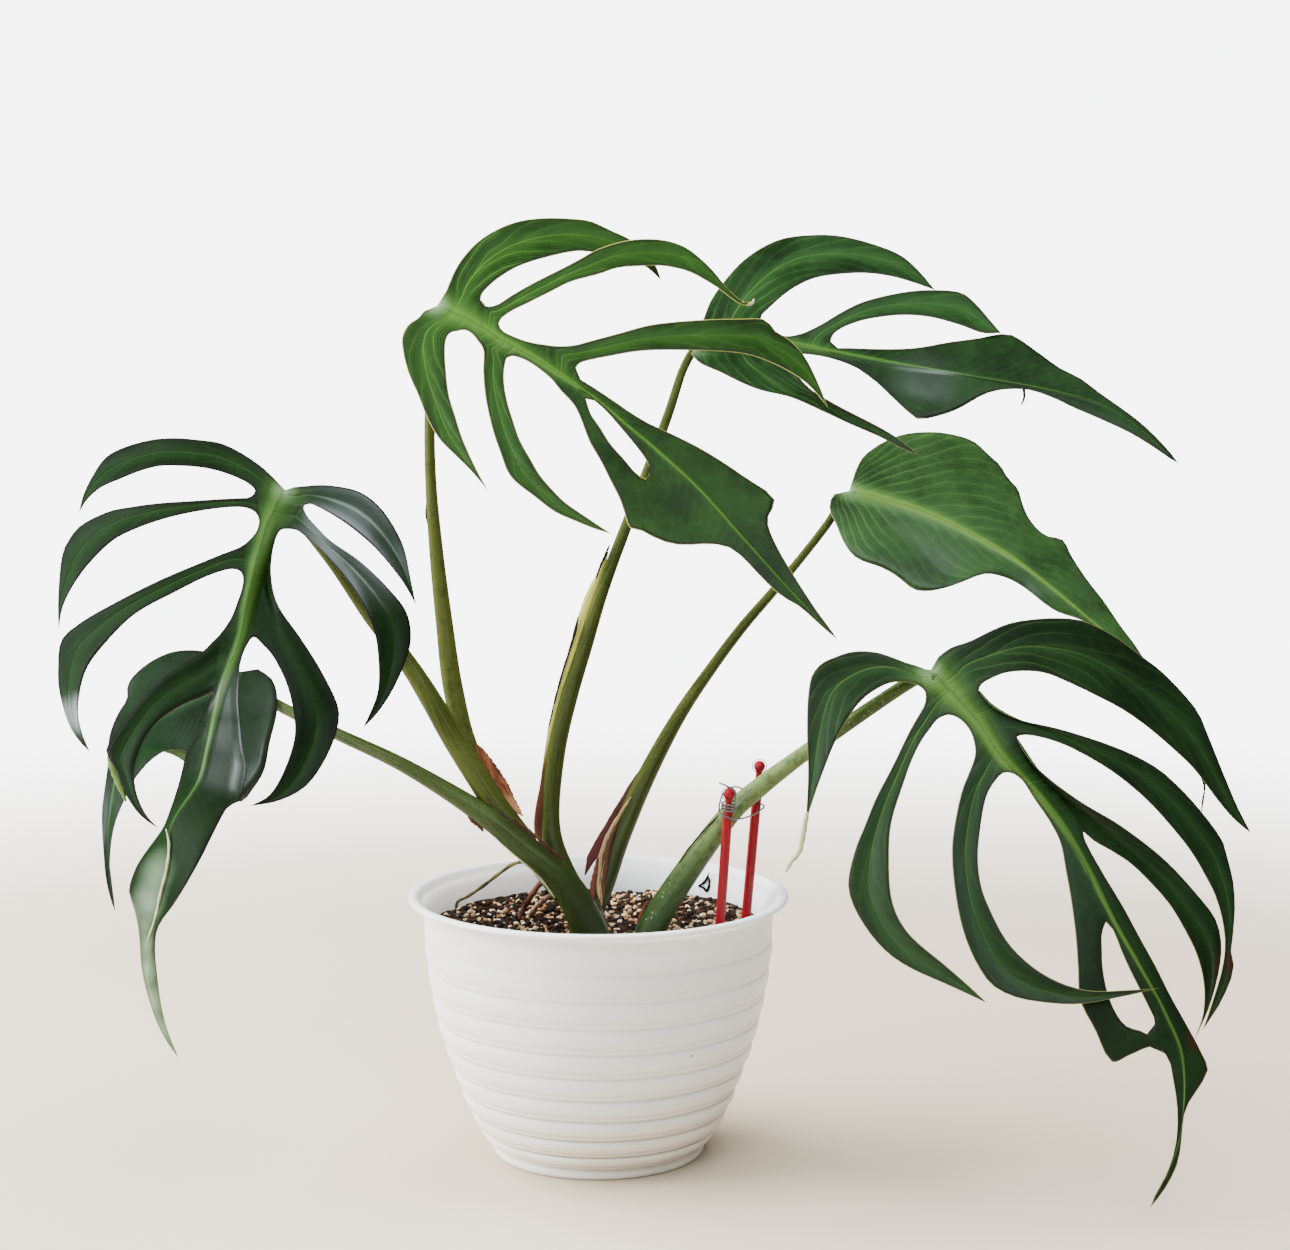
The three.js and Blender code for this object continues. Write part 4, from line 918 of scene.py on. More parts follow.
                ("272,679 277,693 277,713 270,742 264,771 253,789 241,802", 3),
                ("222,790 205,768 190,754 182,749 167,750 151,760 140,772 134,780 124,801 116,820 "
                 "111,844 110,875 115,911", 5),
            ], [], -9),
        ],
    },
}
# Spots on the blades, each a pixel and its reach in pixels: withered brown tips, where the pale
# underside is turned over or the tip hangs pale, and where the blade gleams.
SCORCHED = {
    "leaf_1": [((661, 280), 14)],
    "leaf_3": [((1203, 800), 34)],
    "leaf_4": [
        ((1235, 968), 26), ((1251, 833), 12), ((990, 1003), 12), ((806, 822), 12), ((1203, 1030), 15),
        ((1194, 1041), 12),
    ],
}
TURNED = {
    "leaf_5": [
        ((150, 872), 30), ((142, 900), 30), ((140, 925), 20), ((143, 945), 20), ((148, 970), 24),
        ((154, 1000), 26), ((163, 1030), 26), ((174, 1052), 22),
    ],
}
SHINES = {
    "leaf_2": [((925, 378), 44)],
    "leaf_5": [
        ((345, 530), 60), ((375, 570), 50), ((240, 700), 34), ((236, 740), 34), ((232, 775), 36),
        ((142, 900), 30), ((73, 715), 26),
    ],
    "leaf_6": [((262, 700), 44), ((262, 740), 40), ((255, 775), 30)],
}
# Deep and fresh green, rib, rim, how strongly the fine veins show on the lobes and along the
# midrib, roughness and gloss.
BLADE_FINISHES = {
    "blade_bright": ((9, 26, 2), (22, 48, 7), (66, 102, 26), (150, 152, 70), (0.55, 0.2), 0.42, 0.2),
    "blade_dark": ((9, 23, 6), (17, 37, 13), (74, 106, 40), (96, 104, 54), (0.3, 0.12), 0.38, 0.18),
    "blade_deep": ((6, 19, 4), (12, 30, 8), (66, 98, 40), (26, 20, 28), (0.12, 0.1), 0.36, 0.1),
    "blade_veined": ((8, 24, 5), (20, 45, 14), (64, 100, 34), (96, 104, 54), (0.5, 0.25), 0.36, 0.22),
    "blade_fresh": ((18, 40, 13), (44, 76, 32), (110, 148, 48), (110, 128, 60), (0.5, 0.28), 0.34, 0.45),
    "blade_shaded": ((7, 22, 6), (15, 36, 14), (66, 96, 46), (30, 24, 32), (0.2, 0.12), 0.3, 0.4),
    "blade_under": ((36, 58, 24), (48, 74, 32), (88, 116, 52), (92, 100, 56), (0.4, 0.3), 0.5, 0.25),
}
UPPER_SIDES = {
    "leaf_1": "blade_bright", "leaf_2": "blade_veined", "leaf_3": "blade_fresh", "leaf_4": "blade_dark",
    "leaf_5": "blade_deep", "leaf_6": "blade_shaded",
}


def corner(before, at, after):
    """Whether a margin turns sharply at a point."""
    return (at - before).normalized().dot((after - at).normalized()) < SHARP_TURN


def stretches(start, parts, ends):
    """The points along a margin, stretch by stretch. ends tells what lies across its cuts."""
    runs = []
    for text, steps in parts:
        points = [start, *knots(text)]
        runs.append((points, steps))
        start = points[-1]
    line = [runs[0][0][0]]
    for i, (points, steps) in enumerate(runs):
        if len(points) == 2:
            line += evenly(points, FINE * steps)[1:]
            continue
        before, after = across(points, ends)
        if i and not corner(runs[i - 1][0][-2], points[0], points[1]):
            before = runs[i - 1][0][-2]
        if i + 1 < len(runs) and not corner(points[-2], points[-1], runs[i + 1][0][1]):
            after = runs[i + 1][0][1]
        line += evenly(through(points, before, after), FINE * steps)[1:]
    return line


def across(points, ends):
    """The points next across the cuts at both ends of a margin, or None."""
    found = []
    for at, own in ((points[0], points[1]), (points[-1], points[-2])):
        others = [p for p in ends.get(tuple(at), []) if (p - own).length > 0.1]
        found.append(others[0] if others else None)
    return found


def margin_ends(leaf):
    """For each end of a free margin, the points next to it."""
    ends = {}

    def note(points):
        ends.setdefault(tuple(points[0]), []).append(points[1])
        ends.setdefault(tuple(points[-1]), []).append(points[-2])

    for _, _, near, far, tip, _ in leaf["lobes"]:
        note(knots(near + " " + tip))
        note(knots(far + " " + tip))
    for _, _, cut, margin, beyond, *_ in leaf["ribbons"]:
        start = knots(cut)[0]
        for text, _ in margin:
            points = [start, *knots(text)]
            if len(points) > 2:
                note(points)
            start = points[-1]
        start = None
        for text, _ in beyond:
            points = knots(text) if start is None else [start, *knots(text)]
            if len(points) > 2:
                note(points)
            start = points[-1]
    return ends


def sheet_depth(leaf, at):
    """How far back the blade's sheet is at a pixel, in millimetres."""
    rib = knots(leaf["midrib"])
    base, tip = rib[0], rib[-1]
    length = (tip - base).length
    way = (at - base).dot(tip - base) / length**2
    off = ((at.x - base.x) * (tip.y - base.y) - (at.y - base.y) * (tip.x - base.x)) / length
    lean = leaf["lean"][0] * (at.x - base.x) + leaf["lean"][1] * (at.y - base.y)
    bow = leaf["bow"] * 4 * way * (1 - way)
    return leaf["depth"] + lean - bow - leaf["fold"] * abs(off) + leaf["droop"] * (off / 100) ** 2


def lobe_grid(lobe, midrib, ends, size):
    """A lobe's points [row][column] as (pixel, extra depth, map), from its root out to its tip. Its
    map is the distance from its own vein and the place across the fine veins, and size is how
    large a pixel is there."""
    first, last, near, far, tip, lift = lobe
    root = midrib[first * FINE : last * FINE + 1]
    columns = len(root) - 1
    cut_rows = CUT_STEPS * FINE
    sides = []
    for start, text in ((root[0], near), (root[-1], far)):
        points = knots(text + " " + tip)
        free = through(points, across(points, ends)[0], None)
        edge = evenly(free, LOBE_STEPS * FINE, LOBE_EASE)
        sides.append(evenly([start, points[0]], cut_rows) + edge[1:])
    rows = len(sides[0]) - 1
    grid = []
    length = 0.0
    for r in range(rows + 1):
        a, b = sides[0][r], sides[1][r]
        v = r / rows
        out = max(0.0, (r - cut_rows) / (rows - cut_rows))
        width = (b - a).length
        if r:
            length += ((a + b) / 2 - (sides[0][r - 1] + sides[1][r - 1]) / 2).length
        row = []
        for c in range(columns + 1):
            u = c / columns
            bent = root[c] - root[0].lerp(root[-1], u)
            at = root[c] if r == 0 else a.lerp(b, u) + (1 - v) * bent
            if c in (0, columns):
                at = (a, b)[c > 0]
            ramp = min(1.0, r / cut_rows)
            gutter = GUTTER * width * (1 - abs(2 * u - 1)) * ramp
            off = abs(u - 0.5) * width
            vein = (off * size, (off - LOBE_VEIN_SLOPE * length) * size)
            row.append((at, lift * out * out + gutter, vein))
        grid.append(row)
    return grid


def ribbon_grid(leaf, ribbon, midrib, ends, size):
    """A ribbon's points, like a lobe's, from the midrib out to its margin. It has no own vein."""
    first, last, cut, margin, beyond, *lift = ribbon
    inner = list(midrib[first * FINE : last * FINE + 1])
    if beyond:
        inner += stretches(inner[-1], beyond, ends)[1:]
    outer = stretches(knots(cut)[0], margin, ends)
    rows = CUT_STEPS * FINE
    columns = len(inner) - 1
    wave = leaf.get("wave", 0)
    run = [0.0]
    for a, b in zip(inner, inner[1:]):
        run.append(run[-1] + (b - a).length)
    grid = []
    for r in range(rows + 1):
        row = []
        for c in range(columns + 1):
            out = r / rows
            middle = math.sin(math.pi * c / columns)
            swell = wave * math.sin(WAVE_STEP * c) * out**2 * middle + sum(lift) * out * middle
            at = inner[c].lerp(outer[c], out)
            slant = RIBBON_VEIN_SLOPE * (at - inner[c]).length
            if "fan" in leaf:
                slant = leaf["fan"] * run[-1] * out
            row.append((at, swell, (NO_OWN_VEIN, (run[c] - slant) * leaf.get("spread", 1) * size)))
        grid.append(row)
    return grid


def blade_sheet(leaf):
    """The leaf as a sheet of faces, with its map and how far each point is from the rib."""
    bm = bmesh.new()
    veins = bm.loops.layers.uv.new("veins")
    rib_mark = bm.verts.layers.float.new("rib")
    midrib = through(knots(leaf["midrib"]), per=FINE)
    ends = margin_ends(leaf)
    size = (leaf["depth"] - VIEW_FROM.y) / VIEW_FOCAL
    grids = [lobe_grid(lobe, midrib, ends, size) for lobe in leaf["lobes"]]
    grids += [ribbon_grid(leaf, ribbon, midrib, ends, size) for ribbon in leaf["ribbons"]]
    rib_points = [(point, i / len(midrib)) for i, point in enumerate(midrib)]
    for grid in grids:

        def place(column, row):
            at, back, _ = grid[row][column]
            return sight(at.x, at.y, sheet_depth(leaf, at) + back)

        laid = lay(bm, len(grid[0]) - 1, len(grid) - 1, place, veins, lambda c, r: grid[r][c][2])
        for vert, column, row in laid:
            at = grid[row][column][0]
            gap, way = min(((at - point).length, way) for point, way in rib_points)
            vert[rib_mark] = gap * size / (RIB_HALF + leaf["rib"] * (1 - way) ** RIB_TAPER)
            vert[rib_mark] += leaf.get("fade", 0) * max(0.0, way - FADE_FROM)
    return bm


def marked(bm, leaf, name):
    """Marks how far each point is from the free edge and how near the foot, and the leaf's spots."""
    new = bm.verts.layers.float.new
    margin, near, pale = new("margin"), new("near"), new("pale")
    scorch, shine = new("scorch"), new("shine")
    edge_points = []
    for edge in bm.edges:
        if edge.is_boundary:
            a, b = (v.co for v in edge.verts)
            edge_points += [a.lerp(b, i / 4) for i in range(4)]
    tree = KDTree(len(edge_points))
    for i, point in enumerate(edge_points):
        tree.insert(point, i)
    tree.balance()

    def on_sheet(x, y):
        return sight(x, y, sheet_depth(leaf, Vector((x, y))))

    def spots_of(table):
        return [(on_sheet(*pixel), reach * MM / 2) for pixel, reach in table.get(name, [])]

    def within(vert, spots):
        return max([0.0] + [1 - (vert.co - spot).length / reach for spot, reach in spots])

    foot = on_sheet(*knots(leaf["midrib"])[0])
    scorched, turned, shining = spots_of(SCORCHED), spots_of(TURNED), spots_of(SHINES)
    for vert in bm.verts:
        vert[margin] = tree.find(vert.co)[2] / MM
        vert[pale] = max(within(vert, turned), 1 - (vert.co - foot).length / (PALE_FOOT * MM))
        vert[near] = max(0.0, 1 - (vert.co - foot).length / (VEINED_FOOT * MM))
        vert[scorch] = within(vert, scorched)
        vert[shine] = within(vert, shining)


def blade_finish(name, deep, fresh, rib_color, rim_color, lines, rough, gloss):
    finish = Finish(name, Specular_IOR_Level=gloss, Coat_IOR=2.0, Coat_Roughness=0.3)
    own, fine = finish.run("veins")
    rib = finish.attribute("rib")
    margin = finish.attribute("margin")
    mottle = finish.cloud(26.0, 4.0)
    cells = finish.cloud(240.0, 3.0)
    lit = paint(*[c * 1.4 + 8 for c in fresh])
    color = finish.mix(mottle.ramp(0.3, 0.7), paint(*deep), paint(*fresh))
    color = finish.mix(cells.ramp(0.45, 0.75) * 0.16, color, lit)
    near = finish.attribute("near")
    shown = (own.ramp(30.0, 39.0) * (lines[1] - lines[0]) + lines[0]) * (near * 1.2 + 0.45)
    shown = shown * (finish.cloud(34.0, 2.0).ramp(0.35, 0.6) * 0.7 + 0.3)
    bent = (fine + finish.cloud(70.0, 2.0) * 3.0 + finish.cloud(24.0, 1.0) * 5.0) / VEIN_GAP
    stripe = abs(bent - bent.math("ROUND")) * VEIN_GAP
    between = bent * 4
    hair = abs(between - between.math("ROUND")).ramp(0.35, 0.1) * shown
    fine_vein = stripe.ramp(0.4, 0.1) * shown
    soft_vein = stripe.ramp(1.8, 0.2) * shown
    color = finish.mix(soft_vein * 0.5 + hair * 0.35, color, lit)
    color = finish.mix(fine_vein * 0.6, color, paint(*rib_color))
    color = finish.mix(own.ramp(6.0, 0.3) * 0.4, color, lit)
    own_vein = own.ramp(0.7, 0.15)
    own_share = own_vein * (near * 0.6 + 0.12) * min(1, lines[0] * 2.4)
    color = finish.mix(own_share, color, paint(*rib_color))
    band = rib.ramp(1.4, 0.2)
    line = rib.ramp(0.22, 0.08)
    color = finish.mix(rib.ramp(3.6, 0.6) * (near * 0.5 + 0.25), color, lit)
    color = finish.mix(rib.ramp(2.6, 0.8) * near * 0.3, color, paint(*rib_color))
    color = finish.mix(band * 0.75, color, paint(*rib_color))
    color = finish.mix(line * 0.3, color, paint(*fresh))
    patches = finish.cloud(40.0, 2.0).ramp(0.5, 0.75)
    color = finish.mix(margin.ramp(2.0, 0.4) * (0.7 - patches * 0.5), color, paint(24, 16, 18))
    color = finish.mix(margin.ramp(0.5, 0.2) * 0.7, color, paint(*rim_color))
    color = finish.mix(finish.attribute("pale") ** 1.4 * 0.75, color, paint(108, 134, 100))
    color = finish.mix(finish.attribute("scorch").ramp(0.0, 0.6), color, paint(42, 25, 17))
    height = own_vein * -0.4 - soft_vein * 0.7 - hair * 0.3 + cells * 0.15 + band * 0.8 - line * 0.4
    sheen = mottle * 0.1 + fine_vein * 0.04 + rough
    shine = finish.attribute("shine").ramp(0.0, 0.8) * (mottle * 0.8 + 0.4)
    return finish.done(Base_Color=color, Roughness=sheen, Coat_Weight=shine, height=height, depth=0.0004)


def face_front(piece):
    """Turns a sheet so that its upper side is the one that looks up and to the front."""
    mesh = piece.data
    if sum(p.normal.dot(FRONT) * p.area for p in mesh.polygons) < 0:
        mesh.flip_normals()


def thickened(piece):
    """Gives the sheet its thickness: a stout midrib, a leathery blade and a thin edge."""
    group = piece.vertex_groups.new(name="thick")
    mesh = piece.data
    rib, margin = ([mark.value for mark in mesh.attributes[name].data] for name in ("rib", "margin"))
    for i in range(len(mesh.vertices)):
        stout = max(0.0, 1 - rib[i] / STOUT_RIB)
        thin = min(1.0, EDGE_THIN + EDGE_THIN * margin[i])
        group.add([i], thin * (0.4 + 0.6 * stout), "REPLACE")
    wall = piece.modifiers.new("wall", "SOLIDIFY")
    wall.thickness = BLADE_THICKNESS * MM
    wall.offset = 0
    wall.vertex_group = "thick"
    wall.material_offset = 1


def blades():
    finishes = {name: blade_finish(name, *look) for name, look in BLADE_FINISHES.items()}
    for name, leaf in LEAVES.items():
        bm = blade_sheet(leaf)
        bmesh.ops.remove_doubles(bm, verts=bm.verts, dist=2e-5)
        marked(bm, leaf, name)
        sides = [finishes[UPPER_SIDES[name]], finishes["blade_under"]]
        piece = finished(name + "_blade", bm, sides)
        face_front(piece)
        thickened(piece)
        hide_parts(name)


blades()

# Sheaths
# The papery remains of the leaf sheaths, split off the edge of the petioles that they wrapped:
# one rust, one pale yellow with a dark edge, and one dark brown streaked with beige.
#
# Each has its path, its slot, two colours and the colour of its foot.
SHEATHS = {
    "sheath_1": (
        "476,744,-2,7 487,764,-3,16 498,784,-4,20 507,800,-4,17 518,812,-5,8 523,816,-5.5,4",
        "sheath_rust", (84, 38, 20), (160, 94, 58), (180, 124, 86),
    ),
    "sheath_2": (
        "608,552,52,5 600,573,48,6 593,590,44,10 583,617,38,10 574,648,32,8 566,674,27,8 559,700,23,8 "
        "552,728,18,8 547,757,14,6 543,785,11,6 539,812,7,8 539,828,6,10 543,845,3.5,10 550,858,0,6",
        "sheath_pale", (150, 150, 60), (196, 194, 96), (78, 26, 20),
    ),
    "sheath_3": (
        "703,681,49,4 689,697,44,6 669,732,36,6 652,760,29,6 638,776,24,6 624,799,19,7 "
        "610,824,14,9 599,844,9,10.5 591,860,4,11 585,875,0,9",
        "sheath_brown", (36, 18, 12), (84, 56, 38), (66, 26, 22),
    ),
}
SHEATH_STEPS = 90
SHEATH_COLUMNS = 8
SHEATH_THICKNESS = 0.5


def sheath_finish(name, first, second, foot):
    finish = Finish(name, Specular_IOR_Level=0.3)
    across_run, length = finish.run("run")
    fibre = finish.fibres(across_run * 1.6, length * 0.05)
    color = finish.mix(fibre.ramp(0.35, 0.65), paint(*first), paint(*second))
    color = finish.mix(length.ramp(54.0, 66.0) * (fibre * 0.2 + 0.87), color, paint(*foot))
    color = finish.mix(abs(across_run).ramp(0.7, 1.0) * 0.75, color, paint(52, 26, 18))
    return finish.done(Base_Color=color, Roughness=0.7, height=fibre, depth=0.0004)


def sheath_side(column):
    """-1 at the left edge and 1 at the right."""
    return column * 2 / SHEATH_COLUMNS - 1


def sheaths():
    for name, (path, slot, *colors) in SHEATHS.items():
        bm = bmesh.new()
        layer = bm.loops.layers.uv.new("run")
        line = path_points(path, SHEATH_STEPS)

        def place(column, row):
            point = line[row]
            side = sheath_side(column)
            ragged = 1 + 0.16 * noise.noise((side * 2, row * 0.3, 5)) + 0.1 * noise.noise((side, row, 9))
            curl = 0.25 * point.w * (side * side - 0.4)
            taper = min(1, (SHEATH_STEPS - row) / 8 + 0.05, row / 6 + 0.1)
            return point.xyz + Vector((side * point.w * ragged * taper, curl, 0))

        lay(bm, SHEATH_COLUMNS, SHEATH_STEPS, place, layer, lambda c, r: (sheath_side(c), r))
        piece = finished(name + "_paper", bm, [sheath_finish(slot, *colors)])
        wall = piece.modifiers.new("wall", "SOLIDIFY")
        wall.thickness = SHEATH_THICKNESS * MM
        wall.offset = 0
        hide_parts(name)


sheaths()

# Aerial roots
# Three thin woody roots that leave the stem above the soil and run down into it, one greenish, one
# red-brown and one pale and corky.
ROOTS = {
    "root_1": (
        "537,862,-4,4 516,863,6,3.8 500,873,15,3.6 483,886,23,3.6 467,897,31,3.4 "
        "457,903,35,3.2 458,918,35,3",
        (40, 34, 14), (92, 84, 44),
    ),
    "root_2": (
        "552,874,-7,6 539,885,2,6 530,898,6,5.8 521,914,10,5.4 516,932,11,5",
        (50, 27, 20), (106, 68, 52),
    ),
    "root_3": (
        "566,888,-8,6 553,894,0,5.6 542,902,8,5.4 532,912,14,5.2 525,930,15,5",
        (84, 58, 46), (150, 120, 98),
    ),
}
ROOT_STEPS = 60
ROOT_SIDES = 14


def root_bark(name, first, second):
    finish = Finish(name, Specular_IOR_Level=0.3)
    length = finish.run("run")[1]
    patch = finish.cloud(120.0, 4.0)
    rings = (length * 1.6 + finish.cloud(90.0) * 2.0).math("SINE")
    color = finish.mix(patch.ramp(0.35, 0.65), paint(*first), paint(*second))
    color = finish.mix(rings.ramp(0.6, 1.0) * 0.3, color, paint(40, 26, 20))
    return finish.done(Base_Color=color, Roughness=0.8, height=patch + rings * 0.3, depth=0.0004)


def root_shape(turn, way):
    return 1 + 0.1 * math.sin(way * 40 + 2 * turn)


def roots():
    for name, (path, first, second) in ROOTS.items():
        bm = bmesh.new()
        tube(bm, path_points(path, ROOT_STEPS), ROOT_SIDES, root_shape)
        piece = finished(name + "_bark", bm, [root_bark(name + "_bark", first, second)])
        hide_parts(name)


roots()

# Stakes
# Two turned rods of red lacquered wood with a necked top and a ball, pushed deep into the soil.
#
# A stake runs from where it enters the soil to the middle of its ball. The neck is points of
# radius and height from there.
STAKES = {
    "stake_front": ((720, 924, -12), (729, 795, -12)),
    "stake_back": ((746, 918, 12), (759.5, 767, 12)),
}
STAKE_RADIUS = 2.3
STAKE_SIDES = 32
STAKE_SUNK = 62
STAKE_TAPER = 5
STAKE_TIP = 0.6
STAKE_NECK = [(2.3, -8.4), (2.0, -7.8), (1.6, -7.2), (1.5, -6.4), (1.5, -3), (1.6, -2.1)]
BALL_RADIUS = 2.75
BALL_RAISED = 0.3
BALL_FROM = 0.16
BALL_STEPS = 11


def stake_red():
    finish = Finish("stake_red", Specular_IOR_Level=0.25, Coat_Roughness=0.2)
    wood = finish.cloud(30.0, 4.0, 0.6, finish.place(30, 30, 1))
    color = finish.mix(wood.ramp(0.3, 0.7), paint(116, 2, 14), paint(146, 8, 26))
    return finish.done(
        Base_Color=color, Roughness=wood * 0.15 + 0.4, Coat_Weight=wood * 0.2, height=wood, depth=0.0001)


def stake_profile(length):
    """Points of radius and height, from the tip in the soil up to the top of the ball."""
    profile = [(0, -STAKE_SUNK), (STAKE_TIP, -STAKE_SUNK), (STAKE_RADIUS, STAKE_TAPER - STAKE_SUNK)]
    profile += [(STAKE_RADIUS, length * step / 12) for step in range(11)]
    profile += [(radius, length + height) for radius, height in STAKE_NECK]
    for step in range(1, BALL_STEPS + 1):
        turn = math.pi * (BALL_FROM + (1 - BALL_FROM) * step / BALL_STEPS)
        height = length + BALL_RAISED - BALL_RADIUS * math.cos(turn)
        profile.append((BALL_RADIUS * math.sin(turn), height))
    return profile


def stakes():
    red = stake_red()
    for name, (foot, ball) in STAKES.items():
        start, end = sight(*foot), sight(*ball)
        bm = bmesh.new()
        profile = stake_profile((end - start).length / MM)
        spun(bm, [bm.verts.new((r * MM, 0, z * MM)) for r, z in profile], STAKE_SIDES)
        lean = (end - start).to_track_quat("Z", "Y").to_matrix().to_4x4()
        bmesh.ops.transform(bm, matrix=Matrix.Translation(start) @ lean, verts=bm.verts)
        piece = finished(name + "_rod", bm, [red])
        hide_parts(name)


stakes()

# Tie
# Thin dark florist's wire: a loop round both stakes and the petiole between them, a coil with two
# loose ends twisted round the front stake's neck, and a fine ring round each ball.
WIRE_RADIUS = 0.4
WIRE_SIDES = 10
TURN_STEPS = 12
LOOP_STEPS = 120
LOOP_PATH = (
    "720,813,-12 727.5,817.5,-15.6 738,819,-12 750,816,-4.5 759,811,4 764,806,12 758,802,16 "
    "749,793,16 737,787,11 726,790,3 720,802,-6"
)
COIL_TOP = (728.4, 801.5, -12)
COIL_IN = "719,783,-15 727,786,-16 735,792,-14.5"
COIL_OUT = "736,806,-15 743,799,-16.5 751,789,-16"
COIL_RADIUS = 3.1
COIL_PITCH = 1.5
COIL_TURNS = 3
COIL_STEPS = 260
RING_REACH = (3.4, 0.6, 3.2)
RING_RAISED = 0.4
RING_STEPS = 60
RING_WIRE_RADIUS = 0.2
RING_WIRE_SIDES = 8


def wire_dark():
    finish = Finish("wire_dark", Metallic=0.7)
    worn = finish.cloud(300.0, 3.0)
    color = finish.mix(worn, paint(42, 42, 46), paint(150, 150, 156))
    return finish.done(Base_Color=color, Roughness=worn * 0.2 + 0.3)


def wired(points):
    return [Vector((*sight(*point), WIRE_RADIUS * MM)) for point in points]


def looped(points, count):
    """count steps round a closed line, which ends at its first point."""
    return evenly(through(points, points[-2], points[1]), count)


def coil():
    """The turns round the stake's neck, from the top down."""
    turns = []
    for i in range(COIL_TURNS * TURN_STEPS + 1):
        turn = 2 * math.pi * i / TURN_STEPS
        down = -COIL_PITCH * i / TURN_STEPS
        offset = Vector((COIL_RADIUS * math.cos(turn), COIL_RADIUS * math.sin(turn), down)) * MM
        turns.append(Vector((*(sight(*COIL_TOP) + offset), WIRE_RADIUS * MM)))
    return turns


def ball_ring(ball):
    """A ring that hangs upright round a stake's ball."""
    side, back, up = RING_REACH
    ring = []
    for i in range(TURN_STEPS + 1):
        turn = 2 * math.pi * i / TURN_STEPS
        raised = up * math.sin(turn) + RING_RAISED
        offset = Vector((side * math.cos(turn), back * math.sin(turn), raised)) * MM
        ring.append(Vector((*(sight(*ball) + offset), RING_WIRE_RADIUS * MM)))
    return ring


def tie():
    dark = wire_dark()
    loop = wired(knots(LOOP_PATH))
    loop.append(loop[0].copy())
    bm = bmesh.new()
    tube(bm, looped(loop, LOOP_STEPS), WIRE_SIDES, closed=True)
    piece = finished("tie_loop_wire", bm, [dark])
    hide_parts("tie_loop")
    bm = bmesh.new()
    wire = wired(knots(COIL_IN)) + coil() + wired(knots(COIL_OUT))
    tube(bm, evenly(through(wire), COIL_STEPS), WIRE_SIDES)
    piece = finished("tie_coil_wire", bm, [dark])
    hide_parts("tie_coil")
    for name, (_, ball) in STAKES.items():
        bm = bmesh.new()
        tube(bm, looped(ball_ring(ball), RING_STEPS), RING_WIRE_SIDES, closed=True)
        piece = finished(name + "_ring_wire", bm, [dark])


tie()

